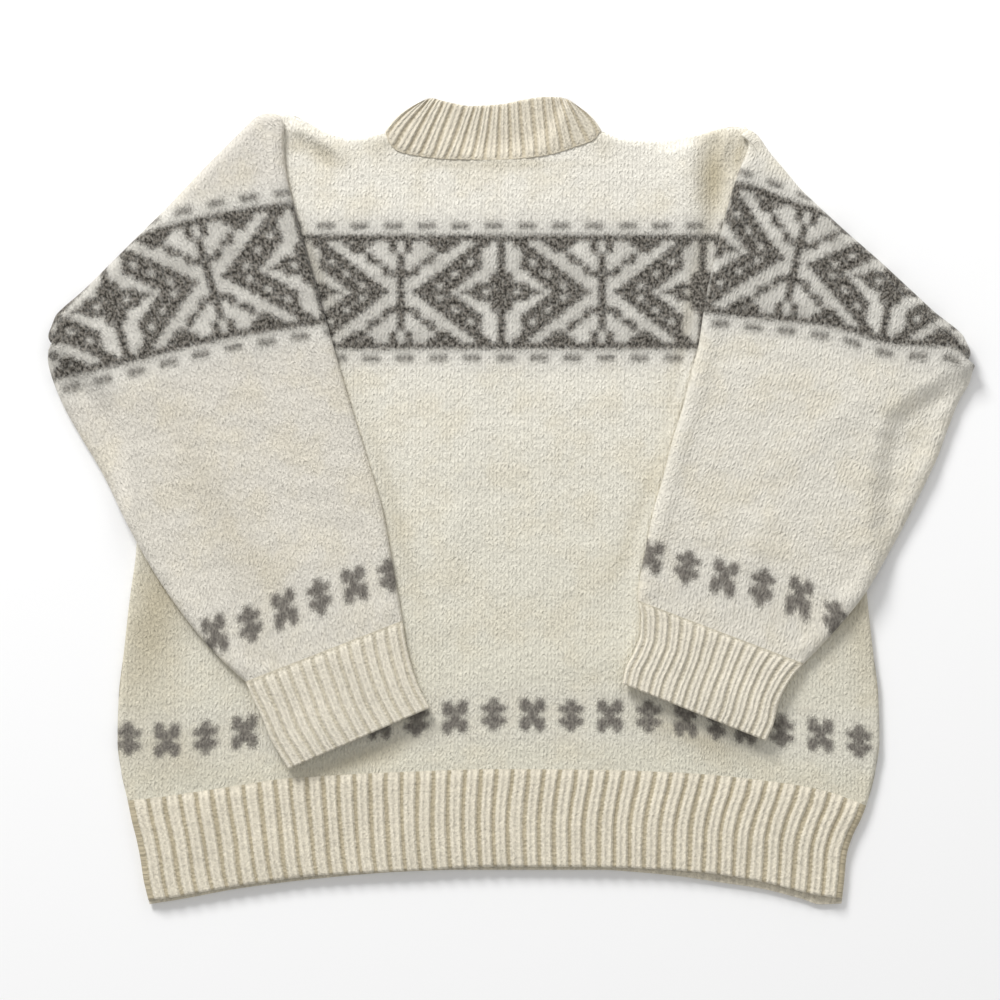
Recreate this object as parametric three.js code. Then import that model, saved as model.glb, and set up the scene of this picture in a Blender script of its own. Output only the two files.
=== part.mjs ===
import * as THREE from "three";

// A knitted wool jumper laid flat, face down, with both sleeves folded over its back.
// Lengths are in mm. +Z is up, the floor is z = 0, and the neck points along +Y.

// Cloth and seams
const WALL = 3.2; // stranded two-colour knitting, brushed
const HOLLOW = 1.6; // room between the two layers of a flat tube
const GAP = 0.3; // between neighbouring pieces
const THICK = 2 * WALL + HOLLOW; // a flat tube, both layers
const HALF = THICK / 2;
const EDGE = HALF - GAP / 2; // radius of the turned edge of a panel
const BLUNT = 0.6; // least height of a turned edge
const FOLD_GAP = 0.4; // between cloth and the cloth folded over it
const FALL = 22; // over this length the folded sleeve falls to the floor
const OVERHANG = 1.5; // how far past an edge it starts to fall
const RIB_RISE = 1.5; // how far a rib stands above its groove
const RIB_FADE = 4; // over this length the ribs rise from a seam
const NECK_GAP = 0.45; // between the curved neck edge and the neck band

// Side edges of the body, hem to underarm
const SIDES = [
  { y: -321.6, left: -290.0, right: 262.8 },
  { y: -302.4, left: -294.8, right: 265.2 },
  { y: -286.4, left: -297.2, right: 266.8 },
  { y: -270.4, left: -300.4, right: 271.6 },
  { y: -254.4, left: -304.4, right: 278.8 },
  { y: -238.4, left: -307.6, right: 284.0 },
  { y: -214.4, left: -312.8, right: 290.0 },
  { y: -190.4, left: -315.6, right: 293.2 },
  { y: -158.4, left: -314.8, right: 292.4 },
  { y: -118.4, left: -310.4, right: 288.0 },
  { y: -78.4, left: -306.0, right: 283.6 },
  { y: -34.4, left: -300.4, right: 279.6 },
  { y: 21.6, left: -299.6, right: 280.4 },
  { y: 80.0, left: -298.0, right: 282.0 },
];

// Ends of the straight armhole seams
const SHOULDER_END_LEFT = { x: -166.8, y: 304.8 };
const SHOULDER_END_RIGHT = { x: 169.2, y: 298.0 };
const UNDERARM_LEFT = { x: -298.0, y: 79.2 };
const UNDERARM_RIGHT = { x: 282.0, y: 71.2 };

// Where the body meets the hem rib
const RIB_SEAM = [
  { x: -307.6, y: -238.4 },
  { x: -287.6, y: -236.4 },
  { x: -223.6, y: -227.2 },
  { x: -180.4, y: -220.8 },
  { x: -78.0, y: -215.2 },
  { x: -10.0, y: -213.3 },
  { x: 70.0, y: -214.0 },
  { x: 142.8, y: -216.8 },
  { x: 206.8, y: -223.2 },
  { x: 245.2, y: -229.6 },
  { x: 270.0, y: -237.6 },
  { x: 284.4, y: -243.2 },
];

// Lower edge of the hem rib at the back
const HEM_BACK = [
  { x: -290.0, y: -317.6 },
  { x: -278.0, y: -316.8 },
  { x: -250.0, y: -312.0 },
  { x: -206.0, y: -304.8 },
  { x: -154.8, y: -298.4 },
  { x: -78.0, y: -294.4 },
  { x: -10.0, y: -291.2 },
  { x: 79.6, y: -292.0 },
  { x: 142.8, y: -295.2 },
  { x: 194.0, y: -302.4 },
  { x: 245.2, y: -314.4 },
  { x: 263.6, y: -316.8 },
];

// Lower edge of the hem rib at the front, which shows a little below the back
const HEM_FRONT = [
  { x: -290.0, y: -321.4 },
  { x: -266.0, y: -317.6 },
  { x: -218.0, y: -308.8 },
  { x: -154.0, y: -300.8 },
  { x: -90.0, y: -295.6 },
  { x: -42.0, y: -294.0 },
  { x: 70.0, y: -294.0 },
  { x: 102.0, y: -296.0 },
  { x: 134.0, y: -299.2 },
  { x: 166.0, y: -304.0 },
  { x: 198.0, y: -308.8 },
  { x: 230.0, y: -316.8 },
  { x: 246.0, y: -321.6 },
  { x: 264.4, y: -320.8 },
];

// Shoulder lines, sleeve to neck and neck to sleeve
const SHOULDER_LEFT = [
  { x: -166.8, y: 304.8 },
  { x: -160.4, y: 301.2 },
  { x: -154.0, y: 297.6 },
  { x: -142.0, y: 292.4 },
  { x: -130.0, y: 290.4 },
  { x: -118.0, y: 291.2 },
  { x: -107.6, y: 293.6 },
  { x: -100.4, y: 294.4 },
];
const SHOULDER_RIGHT = [
  { x: 70.0, y: 296.0 },
  { x: 74.8, y: 294.8 },
  { x: 84.4, y: 290.8 },
  { x: 102.0, y: 288.8 },
  { x: 118.0, y: 288.0 },
  { x: 134.0, y: 290.4 },
  { x: 150.0, y: 293.6 },
  { x: 159.6, y: 296.0 },
  { x: 169.2, y: 298.0 },
];

// Neck line and free rim of the band, back half
const NECK_BACK = [
  { x: -100.4, y: 294.4, rimX: -70.8, rimY: 320.8 },
  { x: -97.2, y: 285.6, rimX: -68.4, rimY: 322.0 },
  { x: -91.6, y: 280.0, rimX: -64.4, rimY: 322.8 },
  { x: -73.2, y: 276.0, rimX: -54.0, rimY: 320.4 },
  { x: -49.2, y: 273.6, rimX: -34.0, rimY: 316.8 },
  { x: -12.4, y: 273.2, rimX: -10.0, rimY: 318.0 },
  { x: 12.4, y: 274.8, rimX: 8.4, rimY: 321.6 },
  { x: 30.8, y: 277.6, rimX: 26.0, rimY: 324.0 },
  { x: 49.2, y: 283.2, rimX: 38.0, rimY: 323.6 },
  { x: 63.6, y: 288.4, rimX: 45.2, rimY: 321.2 },
  { x: 70.0, y: 296.0, rimX: 50.0, rimY: 317.6 },
];

// Neck line and free rim of the band, front half, which lies underneath and is cut lower
const NECK_FRONT = [
  { x: -100.4, y: 294.4, rimX: -70.8, rimY: 320.8 },
  { x: -95.6, y: 283.2, rimX: -65.2, rimY: 312.0 },
  { x: -87.6, y: 267.2, rimX: -58.0, rimY: 297.6 },
  { x: -70.0, y: 248.0, rimX: -48.4, rimY: 281.6 },
  { x: -42.0, y: 236.0, rimX: -30.8, rimY: 270.4 },
  { x: -12.4, y: 232.8, rimX: -11.6, rimY: 267.2 },
  { x: 18.0, y: 236.0, rimX: 7.6, rimY: 270.4 },
  { x: 42.8, y: 248.0, rimX: 26.8, rimY: 281.6 },
  { x: 58.8, y: 267.2, rimX: 38.0, rimY: 297.6 },
  { x: 66.0, y: 283.2, rimX: 44.4, rimY: 312.0 },
  { x: 70.0, y: 296.0, rimX: 50.0, rimY: 317.6 },
];

// Cross lines of the folded sleeves, fold to cuff. "over" is the overarm edge, "under" the underarm.
const SLEEVE_LEFT = [
  { overX: -187.5, overY: 309.0, underX: -366.5, underY: 131.0 },
  { overX: -182.4, overY: 296.8, underX: -371.2, underY: 121.6 },
  { overX: -181.2, overY: 281.6, underX: -370.8, underY: 116.0 },
  { overX: -178.8, overY: 257.6, underX: -369.6, underY: 110.4 },
  { overX: -172.4, overY: 229.6, underX: -367.6, underY: 102.4 },
  { overX: -162.0, overY: 192.0, underX: -363.6, underY: 89.6 },
  { overX: -152.4, overY: 159.2, underX: -357.2, underY: 74.4 },
  { overX: -141.2, overY: 118.4, underX: -344.4, underY: 51.2 },
  { overX: -129.2, overY: 77.6, underX: -329.2, underY: 25.6 },
  { overX: -122.8, overY: 57.0, underX: -320.0, underY: 7.4 },
  { overX: -116.4, overY: 36.8, underX: -310.0, underY: -12.8 },
  { overX: -111.6, overY: 20.6, underX: -303.4, underY: -25.6 },
  { overX: -109.0, overY: 11.8, underX: -297.4, underY: -36.6 },
  { overX: -103.6, overY: -6.4, underX: -286.0, underY: -56.0 },
  { overX: -96.4, overY: -44.8, underX: -259.6, underY: -94.4 },
  { overX: -91.6, overY: -72.0, underX: -235.6, underY: -122.4 },
  { overX: -87.6, overY: -94.4, underX: -213.2, underY: -143.2 },
];
const SLEEVE_RIGHT = [
  { overX: 180.0, overY: 290.0, underX: 363.0, underY: 119.0 },
  { overX: 185.2, overY: 281.6, underX: 369.2, underY: 114.4 },
  { overX: 178.8, overY: 261.6, underX: 371.2, underY: 112.4 },
  { overX: 168.4, overY: 224.0, underX: 370.8, underY: 110.4 },
  { overX: 158.8, overY: 185.6, underX: 369.2, underY: 105.6 },
  { overX: 152.4, overY: 152.0, underX: 364.8, underY: 94.4 },
  { overX: 148.4, overY: 125.6, underX: 356.4, underY: 80.0 },
  { overX: 142.0, overY: 101.6, underX: 347.6, underY: 57.6 },
  { overX: 135.6, overY: 75.2, underX: 340.4, underY: 37.6 },
  { overX: 127.6, overY: 49.6, underX: 330.8, underY: 16.8 },
  { overX: 119.6, overY: 18.4, underX: 318.0, underY: -8.8 },
  { overX: 112.4, overY: -6.4, underX: 302.0, underY: -38.4 },
  { overX: 109.6, overY: -20.0, underX: 292.6, underY: -54.4 },
  { overX: 108.0, overY: -28.0, underX: 286.6, underY: -64.4 },
  { overX: 106.0, overY: -38.4, underX: 279.6, underY: -75.2 },
  { overX: 102.0, overY: -58.4, underX: 252.4, underY: -108.0 },
  { overX: 99.6, overY: -78.4, underX: 232.4, underY: -128.8 },
];

// Cross lines of the cuffs, sleeve to wrist. "lift" is how far the cuff rides up off the body.
const CUFF_LEFT = [
  { overX: -87.6, overY: -94.4, underX: -213.2, underY: -143.2, lift: 0 },
  { overX: -86.0, overY: -107.2, underX: -206.8, underY: -157.6, lift: 0.3 },
  { overX: -82.8, overY: -122.4, underX: -199.6, underY: -172.8, lift: 0.8 },
  { overX: -77.2, overY: -140.8, underX: -192.4, underY: -190.4, lift: 1.6 },
  { overX: -71.6, overY: -153.6, underX: -185.2, underY: -202.4, lift: 2.3 },
  { overX: -66.0, overY: -164.0, underX: -178.8, underY: -212.8, lift: 2.8 },
];
const CUFF_RIGHT = [
  { overX: 99.6, overY: -78.4, underX: 232.4, underY: -128.8, lift: 0 },
  { overX: 102.4, overY: -90.4, underX: 224.4, underY: -137.6, lift: 0.3 },
  { overX: 102.0, overY: -104.0, underX: 216.4, underY: -150.4, lift: 0.8 },
  { overX: 97.2, overY: -118.4, underX: 211.6, underY: -161.6, lift: 1.6 },
  { overX: 90.0, overY: -132.8, underX: 208.4, underY: -176.0, lift: 2.3 },
  { overX: 87.6, overY: -144.8, underX: 202.0, underY: -190.4, lift: 2.8 },
];

// Edge of what a folded sleeve rests on: its own root to the underarm, then the side of the body
const REST_LEFT = [
  { x: -366.5, y: 131.0 },
  { x: -298.0, y: 79.2 },
  { x: -299.6, y: 21.6 },
  { x: -300.4, y: -34.4 },
  { x: -306.0, y: -78.4 },
  { x: -315.6, y: -190.4 },
];
const REST_RIGHT = [
  { x: 363.0, y: 119.0 },
  { x: 282.0, y: 71.2 },
  { x: 280.4, y: 17.6 },
  { x: 279.6, y: -36.8 },
  { x: 283.6, y: -81.6 },
  { x: 293.2, y: -191.2 },
];

// Soft folds that raise the upper layer. "turn" is the direction of the fold in degrees from +X.
const FOLDS_BACK = [
  { x: 146, y: 262, long: 34, wide: 9, turn: 78, rise: 1.9 },
  { x: -152, y: 284, long: 16, wide: 6, turn: -32, rise: 1.2 },
  { x: -40, y: 40, long: 90, wide: 26, turn: 84, rise: 1.0 },
  { x: 30, y: -130, long: 110, wide: 24, turn: 8, rise: 0.9 },
];
const FOLDS_LEFT = [
  { x: -250, y: 10, long: 70, wide: 11, turn: -66, rise: 1.5 },
  { x: -196, y: 150, long: 44, wide: 14, turn: 62, rise: 1.1 },
  { x: -160, y: -60, long: 40, wide: 12, turn: -58, rise: 1.2 },
];
const FOLDS_RIGHT = [
  { x: 312, y: 22, long: 26, wide: 7, turn: 8, rise: 1.4 },
  { x: 304, y: -4, long: 26, wide: 7, turn: 16, rise: 1.4 },
  { x: 250, y: 60, long: 52, wide: 13, turn: 38, rise: 1.3 },
  { x: 190, y: -40, long: 46, wide: 12, turn: 64, rise: 1.1 },
];

// Where the grid lines of a panel lie
const EDGE_STEPS = [0, 1.1, EDGE]; // in from a turned edge
const LEFT_OF_NECK = [0.035, 0.075, 0.115, 0.155];
const RIGHT_OF_NECK = [0.75, 0.8, 0.85, 0.9, 0.925, 0.95, 0.965, 0.98];
const WIDEST_SPAN = 0.052; // wider spans between grid lines are halved
const PANEL_BELOW = [0, 0.075, 0.15, 0.25, 0.38, 0.55, 0.72, 0.87]; // rib seam to underarm
const PANEL_ABOVE = [0, 0.2, 0.42, 0.64, 0.84]; // underarm to shoulder
const HEM_ALONG = [0, 0.1, 0.55, 1];
const HEM_RIBS = 46;
const CUFF_RIBS = 12;
const NECK_RIBS = 17;
const PLAIN_COLUMNS = 14;
const RIB_POINTS = [
  { at: 0, rise: 0 },
  { at: 0.3, rise: 1 },
  { at: 0.7, rise: 1 },
];

// Where the rings and lengths of a tube are cut
const TURN_STEPS = 4; // parts of the half circle at a tube's edge
const ROOT_STEPS = 3;
const FOLD_STEPS = 6;
const BAND_STEPS = [0, 0.12, 0.4, 0.7, 1];

// Colours of the yarns
const CREAM = 0xebe5d2;
const RIB_CREAM = 0xe2d9bf;

const mix = (a, b, t) => a + (b - a) * t;
const clamp = (v, low, high) => Math.min(high, Math.max(low, v));
const ease = (t) => {
  const c = clamp(t, 0, 1);
  return c * c * (3 - 2 * c);
};
const between = (a, b, t) => ({ x: mix(a.x, b.x, t), y: mix(a.y, b.y, t) });

// A smooth curve that never overshoots, through a table's columns "key" and "value"
function curve(table, key, value) {
  const rows = [...table].sort((a, b) => a[key] - b[key]);
  const k = rows.map((r) => r[key]);
  const v = rows.map((r) => r[value]);
  const slope = [];
  for (let i = 0; i < k.length - 1; i++) slope.push((v[i + 1] - v[i]) / (k[i + 1] - k[i]));
  const tangent = k.map((_, i) => {
    if (i === 0) return slope[0];
    if (i === k.length - 1) return slope[i - 1];
    const a = slope[i - 1];
    const b = slope[i];
    return a * b <= 0 ? 0 : (2 * a * b) / (a + b);
  });
  return (at) => {
    const x = clamp(at, k[0], k[k.length - 1]);
    let i = 0;
    while (i < k.length - 2 && x > k[i + 1]) i++;
    const h = k[i + 1] - k[i];
    const t = (x - k[i]) / h;
    const t2 = t * t;
    const t3 = t2 * t;
    return (
      v[i] * (2 * t3 - 3 * t2 + 1) +
      tangent[i] * h * (t3 - 2 * t2 + t) +
      v[i + 1] * (3 * t2 - 2 * t3) +
      tangent[i + 1] * h * (t3 - t2)
    );
  };
}

// Straight lines through a table's columns "key" and "value"
function line(table, key, value) {
  return (at) => {
    let i = 0;
    while (i < table.length - 2 && at > table[i + 1][key]) i++;
    const a = table[i];
    const b = table[i + 1];
    return mix(a[value], b[value], clamp((at - a[key]) / (b[key] - a[key]), 0, 1));
  };
}

// Distance from a place to a chain of points, and the side of the chain it lies on
function nearest(chain, x, y) {
  let best = Infinity;
  let side = 1;
  for (let i = 0; i < chain.length - 1; i++) {
    const a = chain[i];
    const b = chain[i + 1];
    const dx = b.x - a.x;
    const dy = b.y - a.y;
    const t = clamp(((x - a.x) * dx + (y - a.y) * dy) / (dx * dx + dy * dy), 0, 1);
    const d = Math.hypot(x - a.x - dx * t, y - a.y - dy * t);
    if (d < best) {
      best = d;
      side = Math.sign(dx * (y - a.y) - dy * (x - a.x)) || 1;
    }
  }
  return { distance: best, side };
}

// Places across a panel, with one at each row of its neck line
function panelPlaces(neckTable) {
  const span = SHOULDER_END_RIGHT.x - SHOULDER_END_LEFT.x;
  const atNeck = neckTable.map((row) => (row.x - SHOULDER_END_LEFT.x) / span);
  const places = [...LEFT_OF_NECK, ...atNeck, ...RIGHT_OF_NECK];
  return places.flatMap((u, i) => {
    const next = places[i + 1] ?? u;
    return next - u > WIDEST_SPAN ? [u, mix(u, next, 0.5)] : [u];
  });
}

const leftSide = curve(SIDES, "y", "left");
const rightSide = curve(SIDES, "y", "right");
const ribSeam = curve(RIB_SEAM, "x", "y");
const TURNED = [
  SIDES.map((r) => ({ x: r.left, y: r.y })),
  SIDES.map((r) => ({ x: r.right, y: r.y })),
  SHOULDER_LEFT,
  SHOULDER_RIGHT,
];
const fromTurned = (x, y) => Math.min(...TURNED.map((c) => nearest(c, x, y).distance));

// Outer and inner height of a turned edge, at a distance in from it
const quarter = (d, radius) => Math.sqrt(radius ** 2 - (radius - clamp(d, 0, radius)) ** 2);
const outerRise = (d) => Math.max(BLUNT, quarter(d, EDGE));
const innerRise = (d) => quarter(Math.max(0, d - WALL), EDGE - WALL);

// How far the folds raise the cloth at a place
function swell(folds, x, y) {
  let rise = 0;
  for (const f of folds) {
    const turn = THREE.MathUtils.degToRad(f.turn);
    const along = (x - f.x) * Math.cos(turn) + (y - f.y) * Math.sin(turn);
    const across = (y - f.y) * Math.cos(turn) - (x - f.x) * Math.sin(turn);
    rise += f.rise * Math.exp(-((along / f.long) ** 2) - (across / f.wide) ** 2);
  }
  return rise;
}

// Height of a row of ribs, "at" counted in ribs
function ribRise(at) {
  const phase = at - Math.floor(at);
  const last = RIB_POINTS[RIB_POINTS.length - 1];
  let before = RIB_POINTS[0];
  for (const point of RIB_POINTS) {
    if (phase <= point.at) {
      const span = point.at - before.at || 1;
      return mix(before.rise, point.rise, (phase - before.at) / span);
    }
    before = point;
  }
  return mix(last.rise, RIB_POINTS[0].rise, (phase - last.at) / (1 - last.at));
}

// Places of the rib points from 0 to 1, with a groove at both ends
function ribPlaces(count) {
  const places = [];
  for (let i = 0; i < count; i++) for (const p of RIB_POINTS) places.push((i + p.at) / count);
  places.push(1);
  return places;
}

const evenly = (count) => Array.from({ length: count + 1 }, (_, i) => i / count);

// One closed mesh from rows of outer points and rows of inner points
function closed(name, outer, inner, round, color) {
  const rows = outer.length;
  const columns = outer[0].length;
  const spans = round ? columns : columns - 1;
  const positions = [];
  for (const layer of [outer, inner]) {
    for (const row of layer) for (const p of row) positions.push(p.x, p.y, p.z);
  }
  const top = (i, j) => i * columns + (j % columns);
  const low = (i, j) => rows * columns + top(i, j);
  const index = [];
  const quad = (a, b, c, d) => index.push(a, b, c, a, c, d);
  for (let i = 0; i < rows - 1; i++) {
    for (let j = 0; j < spans; j++) {
      quad(top(i, j), top(i, j + 1), top(i + 1, j + 1), top(i + 1, j));
      quad(low(i, j), low(i + 1, j), low(i + 1, j + 1), low(i, j + 1));
    }
  }
  for (let j = 0; j < spans; j++) {
    quad(top(0, j), low(0, j), low(0, j + 1), top(0, j + 1));
    quad(top(rows - 1, j), top(rows - 1, j + 1), low(rows - 1, j + 1), low(rows - 1, j));
  }
  if (!round) {
    for (let i = 0; i < rows - 1; i++) {
      quad(top(i, 0), top(i + 1, 0), low(i + 1, 0), low(i, 0));
      quad(top(i, spans), low(i, spans), low(i + 1, spans), top(i + 1, spans));
    }
  }
  const geometry = new THREE.BufferGeometry();
  geometry.setAttribute("position", new THREE.Float32BufferAttribute(positions, 3));
  let volume = 0;
  const corner = (n) => new THREE.Vector3().fromArray(positions, 3 * index[n]);
  for (let n = 0; n < index.length; n += 3) {
    volume += corner(n).dot(corner(n + 1).cross(corner(n + 2)));
  }
  geometry.setIndex(volume < 0 ? index.reverse() : index);
  geometry.computeVertexNormals();
  const material = new THREE.MeshStandardMaterial({ color, roughness: 1 });
  const mesh = new THREE.Mesh(geometry, material);
  mesh.name = name;
  return mesh;
}

// Body panel: straight armholes, turned side and shoulder edges, cut neck and hem ends
function panel(name, neckTable, isBack) {
  const shoulders = [...SHOULDER_LEFT.slice(0, -1), ...neckTable, ...SHOULDER_RIGHT.slice(1)];
  const topLine = line(shoulders, "x", "y");
  const seamShift = GAP / 2;
  const hemLeft = { y: RIB_SEAM[0].y + seamShift };
  const hemRight = { y: RIB_SEAM[RIB_SEAM.length - 1].y + seamShift };
  const armholeHeight = SHOULDER_END_LEFT.y - UNDERARM_LEFT.y;
  const rows = [
    ...PANEL_BELOW.map((v) => ({ v, a: 0, below: true })),
    ...PANEL_ABOVE.map((a) => ({ v: 1, a, below: false })),
    ...[...EDGE_STEPS].reverse().map((d) => ({ v: 1, a: 1 - d / armholeHeight, below: false })),
  ];
  const outer = [];
  const inner = [];
  for (const row of rows) {
    let left = between(UNDERARM_LEFT, SHOULDER_END_LEFT, row.a);
    let right = between(UNDERARM_RIGHT, SHOULDER_END_RIGHT, row.a);
    if (row.below) {
      const yLeft = mix(hemLeft.y, UNDERARM_LEFT.y, row.v);
      const yRight = mix(hemRight.y, UNDERARM_RIGHT.y, row.v);
      left = { x: leftSide(yLeft), y: yLeft };
      right = { x: rightSide(yRight), y: yRight };
    } else {
      left.x += GAP / 2;
      right.x -= GAP / 2;
    }
    const width = right.x - left.x;
    const across = [
      ...EDGE_STEPS.map((d) => d / width),
      ...panelPlaces(neckTable),
      ...[...EDGE_STEPS].reverse().map((d) => 1 - d / width),
    ];
    const upper = [];
    const lower = [];
    for (const u of across) {
      const x = mix(left.x, right.x, u);
      const topX = mix(SHOULDER_END_LEFT.x, SHOULDER_END_RIGHT.x, u);
      const topBend = topLine(topX) - mix(SHOULDER_END_LEFT.y, SHOULDER_END_RIGHT.y, u);
      const hemBend = ribSeam(x) + seamShift - mix(hemLeft.y, hemRight.y, u);
      const bend = topBend * row.a ** 2 + hemBend * (1 - row.v) ** 2;
      const y = mix(left.y, right.y, u) + bend;
      const d = fromTurned(x, y);
      const lift = isBack ? swell(FOLDS_BACK, x, y) * ease((d - EDGE) / EDGE / 2) : 0;
      const seamZ = isBack ? HALF + GAP / 2 : HALF - GAP / 2;
      const sign = isBack ? 1 : -1;
      upper.push({ x, y, z: seamZ + sign * outerRise(d) + lift });
      lower.push({ x, y, z: seamZ + sign * innerRise(d) + lift });
    }
    outer.push(upper);
    inner.push(lower);
  }
  return closed(name, outer, inner, false, CREAM);
}

// Hem rib: a flat band below a panel, with ribs raised on the upper side of the back one
function hemRib(name, edgeTable, isBack) {
  const edge = curve(edgeTable, "x", "y");
  const seamShift = -GAP / 2;
  const outer = [];
  const inner = [];
  for (const v of HEM_ALONG) {
    const yLeft = mix(RIB_SEAM[0].y + seamShift, edgeTable[0].y, v);
    const yRight = mix(
      RIB_SEAM[RIB_SEAM.length - 1].y + seamShift,
      edgeTable[edgeTable.length - 1].y,
      v,
    );
    const left = leftSide(yLeft);
    const right = rightSide(yRight);
    const width = right - left;
    const inset = EDGE / width;
    const places = ribPlaces(HEM_RIBS);
    const ribbed = places.map((p) => mix(inset, 1 - inset, p));
    const middle = isBack ? ribbed : [inset, ...panelPlaces(NECK_FRONT), 1 - inset];
    const edges = EDGE_STEPS.slice(0, -1).map((d) => d / width);
    const across = [...edges, ...middle, ...[...edges].reverse().map((u) => 1 - u)];
    const upper = [];
    const lower = [];
    across.forEach((u, j) => {
      const x = mix(left, right, u);
      const y = mix(ribSeam(x) + seamShift, edge(x), v);
      const d = Math.min(x - left, right - x);
      const rib = j - edges.length;
      const onRib = isBack && rib >= 0 && rib < places.length;
      const fromSeam = (ribSeam(x) + seamShift - y) / RIB_FADE;
      const rise = onRib ? RIB_RISE * ribRise(places[rib] * HEM_RIBS) * ease(fromSeam) : 0;
      const seamZ = isBack ? HALF + GAP / 2 : HALF - GAP / 2;
      const sign = isBack ? 1 : -1;
      upper.push({ x, y, z: seamZ + sign * outerRise(d) + rise });
      lower.push({ x, y, z: seamZ + sign * innerRise(d) });
    });
    outer.push(upper);
    inner.push(lower);
  }
  return closed(name, outer, inner, false, RIB_CREAM);
}

// Ring of a flat tube of a given width. Each point has a place s across the tube and w through it.
// "far" and "near" are the places of the points on the two flat faces, 0 to 1.
function ring(width, far, near, rise) {
  const points = [];
  const inside = HALF - WALL;
  const flat = (f) => mix(HALF, width - HALF, f);
  far.forEach((f) => {
    const up = rise ? rise(f) : 0;
    points.push({ s: flat(f), w: THICK + up, si: flat(f), wi: THICK - WALL });
  });
  for (let k = 1; k < TURN_STEPS; k++) {
    const angle = Math.PI / 2 - (Math.PI * k) / TURN_STEPS;
    const c = Math.cos(angle);
    const n = Math.sin(angle);
    const centre = width - HALF;
    points.push({ s: centre + HALF * c, w: HALF + HALF * n, si: centre + inside * c, wi: HALF + inside * n });
  }
  [...near].reverse().forEach((f) => {
    points.push({ s: flat(f), w: 0, si: flat(f), wi: WALL });
  });
  for (let k = 1; k < TURN_STEPS; k++) {
    const angle = -Math.PI / 2 - (Math.PI * k) / TURN_STEPS;
    const c = Math.cos(angle);
    const n = Math.sin(angle);
    points.push({ s: HALF + HALF * c, w: HALF + HALF * n, si: HALF + inside * c, wi: HALF + inside * n });
  }
  return points;
}

// Height of what lies under a folded sleeve: the body or the sleeve's root, falling to the floor
function support(chain, hand, x, y) {
  const { distance, side } = nearest(chain, x, y);
  const outside = side * hand > 0 ? -distance : distance;
  return (THICK + FOLD_GAP) * (1 - ease((outside - OVERHANG) / FALL));
}

// Places across a cross line, packed where the cloth falls to the floor
function restPlaces(over, under, chain, hand) {
  const width = Math.hypot(under.x - over.x, under.y - over.y);
  const samples = evenly(60);
  const onTop = THICK + FOLD_GAP - 0.01;
  const first = samples.find((t) => {
    const p = between(over, under, t);
    return support(chain, hand, p.x, p.y) < onTop;
  });
  const start = clamp(first ?? 1, 0.3, 0.93);
  const end = clamp(start + FALL / width, start + 0.04, 0.985);
  return [
    ...[0, 0.25, 0.5, 0.75, 1].map((t) => start * t),
    mix(start, end, 0.35),
    mix(start, end, 0.7),
    end,
    mix(end, 1, 0.5),
    1,
  ];
}

// Sleeve: a flat tube from the armhole to the cuff, folded back over itself along its first cross line
function sleeve(name, sections, seam, chain, hand, folds) {
  const outer = [];
  const inner = [];
  const axisOver = { x: sections[0].overX, y: sections[0].overY };
  const axisUnder = { x: sections[0].underX, y: sections[0].underY };
  const axisLength = Math.hypot(axisUnder.x - axisOver.x, axisUnder.y - axisOver.y);
  const outward = {
    x: (hand * (axisUnder.y - axisOver.y)) / axisLength,
    y: (-hand * (axisUnder.x - axisOver.x)) / axisLength,
  };
  const foldPlaces = restPlaces(
    { x: sections[1].overX, y: sections[1].overY },
    { x: sections[1].underX, y: sections[1].underY },
    chain,
    hand,
  );
  const station = (over, under, places, place) => {
    const width = Math.hypot(under.x - over.x, under.y - over.y);
    const shape = ring(width, places, places);
    const at = (s, w) => {
      const p = between(over, under, s / width);
      return place(p.x, p.y, w);
    };
    outer.push(shape.map((p) => at(p.s, p.w)));
    inner.push(shape.map((p) => at(p.si, p.wi)));
  };
  const start = { x: seam.shoulder.x - (hand * GAP) / 2, y: seam.shoulder.y };
  const startUnder = { x: seam.underarm.x - (hand * GAP) / 2, y: seam.underarm.y };
  for (let i = 0; i < ROOT_STEPS; i++) {
    const t = i / ROOT_STEPS;
    const flatRoot = (x, y, w) => ({ x, y, z: THICK - w });
    station(between(start, axisOver, t), between(startUnder, axisUnder, t), foldPlaces, flatRoot);
  }
  for (let i = 0; i <= FOLD_STEPS; i++) {
    const angle = (Math.PI * i) / FOLD_STEPS;
    station(axisOver, axisUnder, foldPlaces, (x, y, w) => {
      const radius = w + FOLD_GAP / 2;
      return {
        x: x + outward.x * radius * Math.sin(angle),
        y: y + outward.y * radius * Math.sin(angle),
        z: THICK + FOLD_GAP / 2 - radius * Math.cos(angle),
      };
    });
  }
  for (const row of sections.slice(1)) {
    const over = { x: row.overX, y: row.overY };
    const under = { x: row.underX, y: row.underY };
    station(over, under, restPlaces(over, under, chain, hand), (x, y, w) => ({
      x,
      y,
      z: support(chain, hand, x, y) + w + swell(folds, x, y) * ease((w - HALF) / HALF),
    }));
  }
  return closed(name, outer, inner, true, CREAM);
}

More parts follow.
